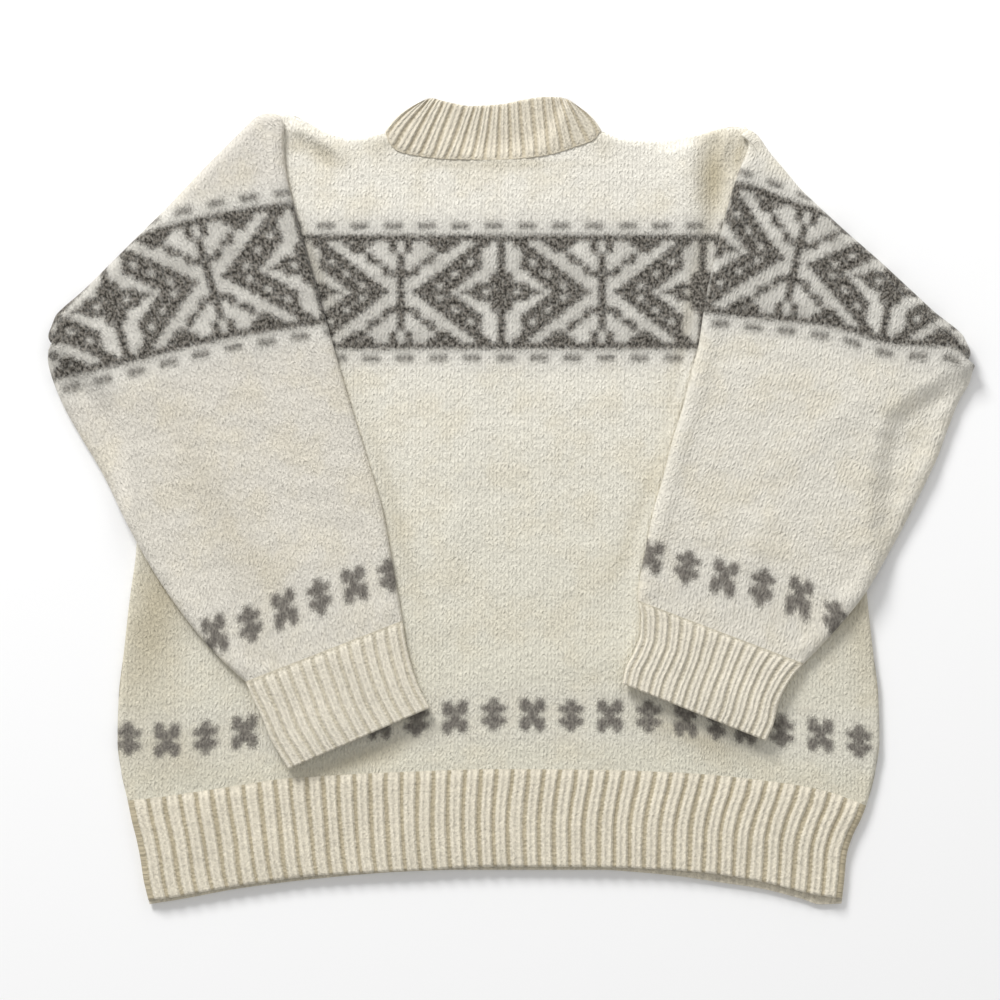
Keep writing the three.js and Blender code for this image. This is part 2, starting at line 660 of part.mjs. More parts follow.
// Cuff: a ribbed flat tube that lies on the back panel
function cuff(name, sections) {
  const outer = [];
  const inner = [];
  const first = sections[0];
  const last = sections[sections.length - 1];
  const width = Math.hypot(first.underX - first.overX, first.underY - first.overY);
  let normal = { x: (first.overY - first.underY) / width, y: (first.underX - first.overX) / width };
  const forward = (last.overX - first.overX) * normal.x + (last.overY - first.overY) * normal.y;
  if (forward < 0) normal = { x: -normal.x, y: -normal.y };
  sections.forEach((row, i) => {
    const shift = i === 0 ? GAP : 0;
    const over = { x: row.overX + normal.x * shift, y: row.overY + normal.y * shift };
    const under = { x: row.underX + normal.x * shift, y: row.underY + normal.y * shift };
    const span = Math.hypot(under.x - over.x, under.y - over.y);
    const height = i === 0 ? 0 : RIB_RISE;
    const shape = ring(span, ribPlaces(CUFF_RIBS), evenly(PLAIN_COLUMNS / 2), (f) => {
      return height * ribRise(f * CUFF_RIBS);
    });
    const at = (s, w) => {
      const p = between(over, under, s / span);
      return { x: p.x, y: p.y, z: THICK + FOLD_GAP + row.lift + w };
    };
    outer.push(shape.map((p) => at(p.s, p.w)));
    inner.push(shape.map((p) => at(p.si, p.wi)));
  });
  return closed(name, outer, inner, true, RIB_CREAM);
}

// Neck band: a ribbed tube, its back half above and its front half underneath, cut lower
function neckBand(name) {
  const lengths = [0];
  for (let i = 1; i < NECK_BACK.length; i++) {
    const a = NECK_BACK[i - 1];
    const b = NECK_BACK[i];
    lengths.push(lengths[i - 1] + Math.hypot(b.x - a.x, b.y - a.y));
  }
  const total = lengths[lengths.length - 1];
  const keyed = (table) => table.map((row, i) => ({ ...row, f: lengths[i] / total }));
  const half = (table) => {
    const rows = keyed(table);
    const [x, y, rimX, rimY] = ["x", "y", "rimX", "rimY"].map((c) => line(rows, "f", c));
    return (f, t) => {
      const dx = rimX(f) - x(f);
      const dy = rimY(f) - y(f);
      const start = NECK_GAP / Math.hypot(dx, dy);
      const along = mix(start, 1, t);
      return { x: x(f) + dx * along, y: y(f) + dy * along };
    };
  };
  const back = half(NECK_BACK);
  const front = half(NECK_FRONT);
  const frontRim = line(NECK_FRONT, "rimX", "rimY");
  const sag = (p) => {
    const inReach = p.x > NECK_FRONT[0].rimX && p.x < NECK_FRONT[NECK_FRONT.length - 1].rimX;
    const beyond = inReach ? p.y - frontRim(p.x) : 0;
    return (THICK - WALL) * ease(beyond / FALL);
  };
  const inRows = keyed(NECK_FRONT).slice(1, -1);
  const atRows = [0, ...inRows.map((row) => (row.f * total - HALF) / (total - THICK)), 1];
  const outer = [];
  const inner = [];
  for (const t of BAND_STEPS) {
    const height = t === 0 ? 0 : RIB_RISE;
    const shape = ring(total, ribPlaces(NECK_RIBS), atRows, (f) => {
      return height * ribRise(f * NECK_RIBS);
    });
    const at = (s, w) => {
      const f = s / total;
      const share = ease((2 * (w - WALL)) / HOLLOW);
      const p = between(front(f, t), back(f, t), share);
      return { x: p.x, y: p.y, z: w - sag(back(f, t)) * share };
    };
    outer.push(shape.map((p) => at(p.s, p.w)));
    inner.push(shape.map((p) => at(p.si, p.wi)));
  }
  return closed(name, outer, inner, true, RIB_CREAM);
}

const LEFT_HAND = 1;
const RIGHT_HAND = -1;
const leftSeam = { shoulder: SHOULDER_END_LEFT, underarm: UNDERARM_LEFT };
const rightSeam = { shoulder: SHOULDER_END_RIGHT, underarm: UNDERARM_RIGHT };

const group = new THREE.Group();
group.name = "fair_isle_jumper";
group.add(
  panel("front_panel", NECK_FRONT, false),
  panel("back_panel", NECK_BACK, true),
  hemRib("hem_rib_front", HEM_FRONT, false),
  hemRib("hem_rib_back", HEM_BACK, true),
  sleeve("sleeve_left", SLEEVE_LEFT, leftSeam, REST_LEFT, LEFT_HAND, FOLDS_LEFT),
  sleeve("sleeve_right", SLEEVE_RIGHT, rightSeam, REST_RIGHT, RIGHT_HAND, FOLDS_RIGHT),
  cuff("cuff_left", CUFF_LEFT),
  cuff("cuff_right", CUFF_RIGHT),
  neckBand("neck_band"),
);

export default group;
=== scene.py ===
import math

import bpy
import numpy as np
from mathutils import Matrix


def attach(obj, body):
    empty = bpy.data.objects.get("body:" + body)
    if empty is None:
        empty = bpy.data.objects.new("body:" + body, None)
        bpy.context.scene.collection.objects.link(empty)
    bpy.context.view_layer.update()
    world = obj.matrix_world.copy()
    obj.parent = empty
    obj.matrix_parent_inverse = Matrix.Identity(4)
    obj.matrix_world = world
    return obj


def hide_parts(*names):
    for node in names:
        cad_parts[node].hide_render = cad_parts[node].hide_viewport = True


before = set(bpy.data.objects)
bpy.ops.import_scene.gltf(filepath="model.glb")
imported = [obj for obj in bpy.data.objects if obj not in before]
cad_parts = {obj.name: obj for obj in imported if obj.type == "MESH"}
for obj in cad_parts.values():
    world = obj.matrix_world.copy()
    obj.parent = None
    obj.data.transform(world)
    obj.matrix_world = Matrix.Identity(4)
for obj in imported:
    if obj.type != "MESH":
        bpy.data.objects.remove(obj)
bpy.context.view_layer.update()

# The view: a camera straight above the laid-out jumper, far enough up that nothing leans.
view_height = 4.0
view_width = 0.8
camera_data = bpy.data.cameras.new("view")
camera_data.sensor_width = 36.0
camera_data.lens = camera_data.sensor_width * view_height / view_width
camera = bpy.data.objects.new("view", camera_data)
camera.location = (-0.010, 0.0016, view_height)
bpy.context.scene.collection.objects.link(camera)
bpy.context.scene.camera = camera

# The room: a pale floor, an even pale sky, a wide soft lamp from the upper left and a weak one from the upper
# right.
bpy.context.scene.view_settings.view_transform = "Standard"
floor_mesh = bpy.data.meshes.new("floor")
reach = 6.0
floor_mesh.from_pydata(
    [(-reach, -reach, -0.0004), (reach, -reach, -0.0004), (reach, reach, -0.0004), (-reach, reach, -0.0004)],
    [],
    [(0, 1, 2, 3)],
)
floor = bpy.data.objects.new("floor", floor_mesh)
bpy.context.scene.collection.objects.link(floor)
floor_paint = bpy.data.materials.new("pale floor")
floor_paint.use_nodes = True
floor_surface = floor_paint.node_tree.nodes["Principled BSDF"]
floor_surface.inputs["Base Color"].default_value = (0.93, 0.93, 0.93, 1)
floor_surface.inputs["Roughness"].default_value = 0.9
floor_mesh.materials.append(floor_paint)

sky = bpy.data.worlds.new("sky")
bpy.context.scene.world = sky
sky.use_nodes = True
sky.node_tree.nodes["Background"].inputs["Color"].default_value = (1.0, 1.0, 1.0, 1)
sky.node_tree.nodes["Background"].inputs["Strength"].default_value = 0.52

for lamp_name, spot, width, watts in (
    ("upper_left_lamp", (-2.0, 3.9, 2.8), 1.6, 245.0),
    ("far_lamp", (0.9, 2.2, 1.6), 1.2, 10.0),
):
    lamp_data = bpy.data.lights.new(lamp_name, "AREA")
    lamp_data.size = width
    lamp_data.energy = watts
    lamp = bpy.data.objects.new(lamp_name, lamp_data)
    lamp.location = spot
    aim = np.array(spot, float)
    lamp.rotation_euler = (
        math.acos(aim[2] / np.linalg.norm(aim)),
        0.0,
        math.atan2(aim[1], aim[0]) + math.pi / 2,
    )
    bpy.context.scene.collection.objects.link(lamp)

# Back panel: the uppermost layer of the body, one piece of stranded wool knitting.
# It is joined to the front along the sides and shoulders, where the cloth turns over a soft edge.
# All sizes are in millimetres until a mesh is made.
wall = 3.2
hollow = 1.6
seam_gap = 0.3
thick = 2 * wall + hollow
half = thick / 2
edge = half - seam_gap / 2

side_rows = [
    (-321.6, -290.0, 262.8), (-302.4, -294.8, 265.2), (-286.4, -297.2, 266.8), (-270.4, -300.4, 271.6),
    (-254.4, -304.4, 278.8), (-238.4, -307.6, 284.0), (-214.4, -312.8, 290.0), (-190.4, -315.6, 293.2),
    (-158.4, -314.8, 292.4), (-118.4, -310.4, 288.0), (-78.4, -306.0, 283.6), (-34.4, -300.4, 279.6),
    (21.6, -299.6, 280.4), (80.0, -298.0, 282.0),
]
shoulder_end_left = (-187.0, 310.6)
shoulder_end_right = (184.0, 298.8)
underarm_left = (-298.0, 79.2)
underarm_right = (282.0, 71.2)
rib_seam_rows = [
    (-307.6, -238.4), (-287.6, -236.4), (-223.6, -227.2), (-180.4, -220.8), (-78.0, -215.2), (-10.0, -213.3),
    (70.0, -214.0), (142.8, -216.8), (206.8, -223.2), (245.2, -229.6), (270.0, -237.6), (284.4, -243.2),
]
shoulder_left = [
    (-187.0, 310.6), (-175.5, 308.8), (-166.8, 305.0), (-160.4, 301.2), (-154.0, 297.6),
    (-142.0, 292.4), (-130.0, 290.4), (-118.0, 291.2), (-107.6, 293.6), (-100.4, 294.4),
]
shoulder_right = [
    (70.0, 296.0), (74.8, 294.8), (84.4, 290.8), (102.0, 288.8), (118.0, 288.0), (134.0, 290.4),
    (150.0, 293.6), (159.6, 296.4), (169.2, 298.8), (177.0, 299.9), (184.0, 298.8),
]
# Each row is a place on the neck line, x and y, and the place on the band's free rim above it.
neck_back = [
    (-100.4, 294.4, -70.8, 320.8), (-97.2, 285.6, -68.4, 322.0), (-91.6, 280.0, -64.4, 322.8),
    (-73.2, 276.0, -54.0, 320.4), (-49.2, 273.6, -34.0, 316.8), (-12.4, 273.2, -10.0, 318.0),
    (12.4, 274.8, 8.4, 321.6), (30.8, 277.6, 26.0, 324.0), (49.2, 283.2, 38.0, 323.6),
    (63.6, 288.4, 45.2, 321.2), (70.0, 296.0, 50.0, 317.6),
]


def through(rows, key, value):
    """A smooth curve with no overshoot through two columns of a table."""
    table = sorted(rows, key=lambda row: row[key])
    k = np.array([row[key] for row in table], float)
    v = np.array([row[value] for row in table], float)
    slope = np.diff(v) / np.diff(k)
    before, after = slope[:-1], slope[1:]
    product = before * after
    total = np.where(before + after == 0, 1, before + after)
    bend = np.where(product <= 0, 0, 2 * product / total)
    tangent = np.concatenate([[slope[0]], bend, [slope[-1]]])

    def curve(at):
        x = np.clip(np.asarray(at, float), k[0], k[-1])
        i = np.clip(np.searchsorted(k, x, side="right") - 1, 0, len(k) - 2)
        h = k[i + 1] - k[i]
        t = (x - k[i]) / h
        return (
            v[i] * (2 * t**3 - 3 * t**2 + 1)
            + tangent[i] * h * (t**3 - 2 * t**2 + t)
            + v[i + 1] * (3 * t**2 - 2 * t**3)
            + tangent[i + 1] * h * (t**3 - t**2)
        )

    return curve


def ease(t):
    c = np.clip(t, 0, 1)
    return c * c * (3 - 2 * c)


def bell(distance, width):
    """A soft bump, 1 at no distance and fading out over the width."""
    return np.exp(-((distance / width) ** 2))


def between(start, end, share):
    return start + (end - start) * share


def segments(chain, x, y):
    """For each piece of a chain its two ends, and of a place how far along it lies, how far off, and on
    which side."""
    for a, b in zip(chain[:-1], chain[1:]):
        dx, dy = b[0] - a[0], b[1] - a[1]
        t = np.clip(((x - a[0]) * dx + (y - a[1]) * dy) / (dx * dx + dy * dy), 0, 1)
        d = np.hypot(x - a[0] - dx * t, y - a[1] - dy * t)
        yield a, b, t, d, dx * (y - a[1]) - dy * (x - a[0]) >= 0


def nearest(chain, x, y):
    """Distance to a chain of points, and the side of it that a place lies on."""
    best = np.full(np.shape(x), np.inf)
    side = np.ones(np.shape(x))
    for _, _, _, d, is_left in segments(chain, x, y):
        side = np.where(d < best, np.where(is_left, 1, -1), side)
        best = np.minimum(best, d)
    return best, side


def quarter(d, radius):
    return np.sqrt(np.maximum(0, radius**2 - (radius - np.clip(d, 0, radius)) ** 2))


def ripple(x, y, size, seed):
    """Soft, uneven waves about one unit high."""
    rng = np.random.default_rng(seed)
    total = np.zeros(np.shape(x))
    for _ in range(9):
        turn = rng.uniform(0, math.pi)
        length = size * rng.uniform(0.6, 1.7)
        phase = rng.uniform(0, 2 * math.pi)
        total = total + np.sin((x * math.cos(turn) + y * math.sin(turn)) * 2 * math.pi / length + phase)
    return total / 3


def swell(folds, x, y):
    """Height of soft folds. A fold is x, y, half length, half width, turn in degrees, rise."""
    rise = np.zeros(np.shape(x))
    for fx, fy, long, wide, turn, height in folds:
        c, s = math.cos(math.radians(turn)), math.sin(math.radians(turn))
        along = (x - fx) * c + (y - fy) * s
        across = (y - fy) * c - (x - fx) * s
        rise = rise + height * bell(along, long) * bell(across, wide)
    return rise


def crease(chain, wide_left, wide_right, x, y):
    """Height of a bent fold along points x, y, rise. Its two sides may fall off at different widths."""
    best = np.full(np.shape(x), np.inf)
    height = np.zeros(np.shape(x))
    for a, b, t, d, is_left in segments(chain, x, y):
        here = between(a[2], b[2], t) * bell(d, np.where(is_left, wide_left, wide_right))
        height = np.where(d < best, here, height)
        best = np.minimum(best, d)
    return height


def knit_wall(name, outer, inner, outer_place, inner_place, joined, sewn_ends):
    """A closed wall of cloth. Each corner keeps its place in the knitting: stitch, row and a third value,
    the height on a rib, or on a panel the share of the wool left free of painted shade. Sewn ends say whether
    its first and last row are sewn."""
    outer, inner, outer_place, inner_place = map(np.array, (outer, inner, outer_place, inner_place))
    rows, columns = outer.shape[:2]
    spans = columns if joined else columns - 1
    low = rows * columns
    faces, places = [], []

    def cover(*corners):
        """Adds faces. A corner is a row, a column and whether it is on the inner side of the wall."""
        faces.append(np.stack([i * columns + j % columns + low * inside for i, j, inside in corners], axis=1))
        places.append(
            np.stack([(inner_place if inside else outer_place)[i, j] for i, j, inside in corners], axis=1)
        )

    i, j = (n.ravel() for n in np.meshgrid(np.arange(rows - 1), np.arange(spans), indexing="ij"))
    cover((i, j, 0), (i, j + 1, 0), (i + 1, j + 1, 0), (i + 1, j, 0))
    cover((i, j, 1), (i + 1, j, 1), (i + 1, j + 1, 1), (i, j + 1, 1))
    j = np.arange(spans)
    first, last = 0 * j, 0 * j + rows - 1
    cover((first, j, 0), (first, j, 1), (first, j + 1, 1), (first, j + 1, 0))
    cover((last, j, 0), (last, j + 1, 0), (last, j + 1, 1), (last, j, 1))
    if not joined:
        i = np.arange(rows - 1)
        start, end = 0 * i, 0 * i + spans
        cover((i, start, 0), (i + 1, start, 0), (i + 1, start, 1), (i, start, 1))
        cover((i, end, 0), (i, end, 1), (i + 1, end, 1), (i + 1, end, 0))
    face = np.concatenate(faces)
    place = np.concatenate(places)
    points = np.concatenate([outer.reshape(-1, 3), inner.reshape(-1, 3)]) * 0.001
    a, b, c, d = (points[face[:, n]] for n in range(4))
    volume = np.einsum("ij,ij->i", a, np.cross(b, c)).sum() + np.einsum("ij,ij->i", a, np.cross(c, d)).sum()
    if volume < 0:
        face = face[:, ::-1]
        place = place[:, ::-1]
    mesh = bpy.data.meshes.new(name)
    mesh.from_pydata(points.tolist(), [], face.tolist())
    smooth = np.ones(len(face), bool)
    first_end = 2 * (rows - 1) * spans
    for n, sewn in enumerate(sewn_ends):
        smooth[first_end + n * spans : first_end + (n + 1) * spans] = not sewn
    mesh.polygons.foreach_set("use_smooth", smooth)
    spot = mesh.attributes.new("knit_place", "FLOAT_VECTOR", "CORNER")
    spot.data.foreach_set("vector", place.reshape(-1).astype(np.float32))
    mesh.update()
    piece = bpy.data.objects.new(name, mesh)
    bpy.context.scene.collection.objects.link(piece)
    return piece


# Places across a body panel, packed along its turned side edges.
edge_steps = np.array([0, 0.25, 0.6, 1.1, 1.8, 2.7, edge])
# The last row before a sewn end is a narrow one, so that the cloth stays evenly lit up to the seam.
sewn_row = 0.15
left_side = through(side_rows, 0, 1)
right_side = through(side_rows, 0, 2)
rib_seam = through(rib_seam_rows, 0, 1)
turned_edges = [
    [(row[1], row[0]) for row in side_rows],
    [(row[2], row[0]) for row in side_rows],
    shoulder_left,
    shoulder_right,
]


def from_turned(x, y):
    return np.minimum.reduce([nearest(chain, x, y)[0] for chain in turned_edges])


# The chart runs from the middle of the pattern band. One repeat is 26 stitches, and the band has 19 rows.
stitch = 6.18
row_height = 4.78
band_middle_x = -8.8
band_middle_y = 167.8
band_rows = 9.0
body_motif_row = -70.0
motif_line = through(
    [
        (-310.0, -188.8), (-282.0, -191.2), (-246.0, -188.8), (-214.0, -184.0), (-46.0, -172.0),
        (-18.0, -169.6), (46.0, -170.4), (110.0, -171.2), (150.0, -176.0), (214.0, -183.2),
        (246.0, -186.4), (278.0, -192.0),
    ],
    0,
    1,
)


# Spots where shade is painted into the body's wool: the shoulder folds, under the neck band, beside the
# sleeves and under the cuffs. Each is x, y, half length, half width, turn in degrees and depth.
body_painted_shade = [
    (160, 262, 34, 13, 86, 0.85), (181, 278, 16, 6, 80, 0.6), (-152, 278, 17, 9, -36, 0.6),
    (-174, 284, 8, 6, 0, 0.4),
    (-16, 270, 66, 5, 0, 0.35), (-287, -95, 75, 26, 80, 0.75), (278, -92, 60, 20, 100, 0.5),
    (-122, -206, 55, 8, 21, 0.5), (-142, 96, 40, 8, -74, 0.3), (150, -190, 50, 9, -20, 0.5),
    (-270, -205, 40, 22, 0, 0.35), (-166, 205, 60, 6, -68, 0.35), (140, 150, 80, 6, 78, 0.35),
    (-96, 0, 90, 7, -74, 0.3), (104, 0, 80, 7, 68, 0.3), (-104, 284, 14, 9, 0, 0.4), (72, 284, 12, 8, 0, 0.3),
]


def body_place(x, y):
    """Stitch, row and a third value of a place on the body. The rows bend down with the hem.
    The third value is 1 where the cloth lies free and less in folds, beside the sleeves and under the cuffs,
    where shade is painted into the wool as a darker, yellower colour."""
    band_low = band_middle_y - band_rows * row_height
    motif_y = motif_line(x)
    down = (band_low - y) / (band_low - motif_y) * (-band_rows - body_motif_row)
    below = (motif_y - y) / row_height - body_motif_row
    row = np.where(y > motif_y, -band_rows - down, -below)
    row = np.where(y > band_low, (y - band_middle_y) / row_height, row)
    unshaded = 1 - np.minimum(1, swell(body_painted_shade, x, y))
    drift = 2.8 * (ease((x - 130) / 70) - ease((-x - 90) / 100)) * ease((-30 - row) / 25)
    return np.stack([(x - band_middle_x) / stitch + drift, row, unshaded], axis=-1)


def across_steps(width, count):
    """Shares of the width of each row, packed along both turned side edges."""
    inside = edge / width + (1 - 2 * edge / width) * np.linspace(0, 1, count)[None, :]
    turned = edge_steps[None, :-1] / width
    return np.concatenate([turned, inside, 1 - turned[:, ::-1]], axis=1)


# Folds and waves of the back fade out towards its sides, hem seam and neck line over these widths.
side_height = 318.0
side_fade = 9.0
hem_fade = 12.0
neck_fade = 8.0
broad_wave = 0.3
small_wave = 0.14


def body_panel(name, neck_rows, folds, is_back, across_count, below_count, above_count):
    neck_line = through([*shoulder_left[:-1], *[row[:2] for row in neck_rows], *shoulder_right[1:]], 0, 1)
    armhole = shoulder_end_left[1] - underarm_left[1]
    down_steps = np.concatenate([[0], np.linspace(sewn_row / side_height, 1, below_count, endpoint=False)])
    up_steps = np.linspace(0, 1 - 1.6 * edge / armhole, above_count)
    last_steps = 1 - edge_steps[::-1][1:] / armhole
    v = np.concatenate([down_steps, np.ones(above_count + len(last_steps))])[:, None]
    a = np.concatenate([np.zeros(below_count + 1), up_steps, last_steps])[:, None]
    hem_left = rib_seam_rows[0][1]
    hem_right = rib_seam_rows[-1][1]
    left_rise = underarm_left[1] + armhole * a
    right_rise = underarm_right[1] + (shoulder_end_right[1] - underarm_right[1]) * a
    y_left = np.where(v < 1, between(hem_left, underarm_left[1], v), left_rise)
    y_right = np.where(v < 1, between(hem_right, underarm_right[1], v), right_rise)
    x_left = np.where(v < 1, left_side(y_left), between(underarm_left[0], shoulder_end_left[0], a))
    x_right = np.where(v < 1, right_side(y_right), between(underarm_right[0], shoulder_end_right[0], a))
    width = x_right - x_left
    u = across_steps(width, across_count)
    x = x_left + width * u
    top_x = between(shoulder_end_left[0], shoulder_end_right[0], u)
    top_bend = neck_line(top_x) - between(shoulder_end_left[1], shoulder_end_right[1], u)
    hem_bend = rib_seam(x) - between(hem_left, hem_right, u)
    y = between(y_left, y_right, u) + top_bend * a**2 + hem_bend * (1 - v) ** 2
    d = from_turned(x, y)
    sign = 1 if is_back else -1
    seam_z = half + sign * seam_gap / 2
    lift = 0 * x
    if is_back:
        bends = sum(crease(chain, left, right, x, y) for chain, left, right in back_creases)
        waves = broad_wave * ripple(x, y, 90, 3) + small_wave * ripple(x, y, 26, 4)
        fade = ease((d - 1) / side_fade) * ease((y - rib_seam(x)) / hem_fade)
        lift = (swell(folds, x, y) + bends + waves) * fade * ease((neck_line(x) - y) / neck_fade)
    outer_z = seam_z + sign * np.maximum(0.4, quarter(d, edge)) + lift
    inner_z = seam_z + sign * quarter(d - wall, edge - wall) + lift
    outer = np.stack([x, y, outer_z], axis=-1)
    inner = np.stack([x, y, inner_z], axis=-1)
    place = body_place(x, y)
    return knit_wall(name, outer, inner, place, place, False, (True, True))


back_folds = [
    (-40, 40, 90, 26, 84, 1.2), (30, -130, 110, 24, 8, 1.0), (-60, -60, 60, 14, 70, 0.7),
    (90, 60, 70, 16, 100, 0.7),
]
left_shoulder_ridge = [
    (-182, 297, 0), (-176, 298, 3.0), (-165, 297, 4.0), (-151, 288, 3.4), (-142, 281, 1.8), (-128, 270, 0),
]
right_shoulder_ridge = [
    (131, 298, 0), (137, 286, 5.5), (141, 265, 7.0), (146, 240, 5.0), (150, 215, 2.2), (152, 190, 0),
]
# Each crease has its points and how wide its left and its right side are. The last two are the cloth
# pressed up a little along the inner edges of the sleeves that lie on it.
back_creases = [
    (left_shoulder_ridge, 9, 4.5),
    ([(-174, 286, 0), (-162, 283, -1.2), (-150, 273, -1.4), (-138, 260, 0)], 7, 7),
    ([(-175, 269, 0), (-174, 258, -0.9), (-172, 247, -0.9), (-171, 238, 0)], 1.8, 1.8),
    (right_shoulder_ridge, 10, 18),
    ([(160, 298, 0), (161, 286, -1.4), (162, 265, -1.4), (160, 240, -1.0), (157, 218, 0)], 8, 8),
    ([(170, 302, 1.5), (170.5, 291, 3.6), (170, 284, 3.0), (167, 270, 0)], 3.0, 3.0),
    (
        [
            (-182, 288, 0), (-178.8, 257.6, 2.2), (-162, 192, 2.2), (-141.2, 118.4, 2.2), (-116.4, 36.8, 2.2),
            (-103.6, -6.4, 2.2), (-91.6, -72, 2.2), (-86, -107.2, 1.8), (-77.2, -140.8, 1.2), (-66, -164, 0),
        ],
        5.5,
        1.2,
    ),
    (
        [
            (184, 272, 0), (168.4, 224, 2.2), (152.4, 152, 2.2), (142, 101.6, 2.2), (127.6, 49.6, 2.2),
            (112.4, -6.4, 2.2), (102, -58.4, 2.2), (102, -104, 1.8), (90, -132.8, 1.0), (87.6, -144.8, 0),
        ],
        1.2,
        5.5,
    ),
]
back_shell = body_panel("back_shell", neck_back, back_folds, True, 200, 108, 76)
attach(back_shell, "root")
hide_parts("back_panel")


def paint(red, green, blue):
    """A colour as seen on screen, 0 to 255, turned into the light values a shader needs."""
    return tuple(((c / 255 + 0.055) / 1.055) ** 2.4 for c in (red, green, blue)) + (1.0,)


class Wire:
    """A value in a shader that plain arithmetic can be done with."""

    def __init__(self, tree, socket):
        self.tree = tree
        self.socket = socket

    def __add__(self, other):
        return calc("ADD", self, other)

    def __sub__(self, other):
        return calc("SUBTRACT", self, other)

    def __rsub__(self, other):
        return calc("SUBTRACT", other, self)

    def __mul__(self, other):
        return calc("MULTIPLY", self, other)

    def __lt__(self, other):
        return calc("LESS_THAN", self, other)

    def __abs__(self):
        return calc("ABSOLUTE", self)

    __radd__ = __add__
    __rmul__ = __mul__


def plug(socket, value):
    if isinstance(value, Wire):
        value.tree.links.new(value.socket, socket)
    else:
        socket.default_value = value


def add_node(kind, *values):
    """A new node beside the first wire among its input values."""
    tree = next(value.tree for value in values if isinstance(value, Wire))
    node = tree.nodes.new(kind)
    for socket, value in zip(node.inputs, values):
        plug(socket, value)
    return node


def calc(operation, *values):
    node = add_node("ShaderNodeMath", *values)
    node.operation = operation
    return Wire(node.id_data, node.outputs[0])


def step_up(value, low, high):
    """0 below low, 1 above high and a soft slope between."""
    node = add_node("ShaderNodeMapRange", value, low, high)
    node.interpolation_type = "SMOOTHSTEP"
    return Wire(value.tree, node.outputs["Result"])


def parts_of(tree, colour):
    """The three values that a colour holds."""
    node = tree.nodes.new("ShaderNodeSeparateColor")
    tree.links.new(colour, node.inputs[0])
    return [Wire(tree, socket) for socket in node.outputs]


def noise(x, y, z, detail=2.0, roughness=0.5):
    """Cloudy noise at a place given by three values. Gives its value and three independent ones."""
    spot = add_node("ShaderNodeCombineXYZ", x, y, z)
    node = x.tree.nodes.new("ShaderNodeTexNoise")
    x.tree.links.new(spot.outputs[0], node.inputs["Vector"])
    node.inputs["Scale"].default_value = 1.0
    node.inputs["Detail"].default_value = detail
    node.inputs["Roughness"].default_value = roughness
    return Wire(x.tree, node.outputs["Fac"]), parts_of(x.tree, node.outputs["Color"])


def scatter(x, y, z):
    """Two values without any pattern, new at every place. They blur an edge the way loose fibres do."""
    spot = add_node("ShaderNodeCombineXYZ", x, y, z)
    node = x.tree.nodes.new("ShaderNodeTexWhiteNoise")
    x.tree.links.new(spot.outputs[0], node.inputs["Vector"])
    return parts_of(x.tree, node.outputs["Color"])[:2]


def mix(share, first, second):
    node = share.tree.nodes.new("ShaderNodeMix")
    node.data_type = "RGBA"
    for socket, value in zip((node.inputs[0], node.inputs[6], node.inputs[7]), (share, first, second)):
        plug(socket, value)
    return Wire(share.tree, node.outputs[2])


def brighten(colour, amount):
    node = colour.tree.nodes.new("ShaderNodeVectorMath")
    node.operation = "SCALE"
    plug(node.inputs[0], colour)
    plug(node.inputs["Scale"], amount)
    return Wire(colour.tree, node.outputs[0])


def new_group(name, inputs, outputs):
    tree = bpy.data.node_groups.new(name, "ShaderNodeTree")
    for label in inputs:
        tree.interface.new_socket(label, in_out="INPUT", socket_type="NodeSocketFloat")
    for label in outputs:
        tree.interface.new_socket(label, in_out="OUTPUT", socket_type="NodeSocketFloat")
    source = tree.nodes.new("NodeGroupInput")
    sink = tree.nodes.new("NodeGroupOutput")
    return tree, [Wire(tree, source.outputs[label]) for label in inputs], sink


def use_group(group, *values):
    tree = values[0].tree
    node = tree.nodes.new("ShaderNodeGroup")
    node.node_tree = group
    for socket, value in zip(node.inputs, values):
        plug(socket, value)
    return [Wire(tree, socket) for socket in node.outputs]


# Stitches: two slanting legs to a stitch, blurred and made uneven by brushing.
stitches, (at_stitch, at_row), stitches_out = new_group("felted stitches", ["Stitch", "Row"], ["Height"])
_, shake = noise(at_stitch * 1.3, at_row * 1.1, 3.0, 2.0)
u = at_stitch + (shake[0] - 0.5) * 0.7
v = at_row + (shake[1] - 0.5) * 1.2
slant = abs(calc("FRACT", u + 0.5) - 0.5)
leg = abs(calc("SINE", slant * (2 * math.pi)))
loop = abs(calc("SINE", (v - slant * 1.9) * math.pi))
uneven, _ = noise(at_stitch * 0.5, at_row * 0.4, 7.0, 2.0)
soft_leg = leg * 0.6 + loop * 0.4
plug(stitches_out.inputs["Height"], soft_leg * (uneven * 1.6 + 0.1))

# Brushed fibres: fine streaks that mostly run up and down, specks between them and broad blotches.
fibres, (at_stitch, at_row), fibres_out = new_group(
    "brushed fibres", ["Stitch", "Row"], ["Streak", "Speck", "Blotch"]
)
bend, _ = noise(at_stitch * 0.8, at_row * 0.5, 1.0, 1.0)
streak, _ = noise(at_stitch * 2.3 + bend * 3.0, at_row * 0.8, 5.0, 3.0, 0.55)
speck, _ = noise(at_stitch * 2.9, at_row * 1.9, 9.0, 2.0, 0.6)
blotch, _ = noise(at_stitch * 0.16, at_row * 0.12, 13.0, 3.0, 0.6)
for label, value in (("Streak", streak), ("Speck", speck), ("Blotch", blotch)):
    plug(fibres_out.inputs[label], value)


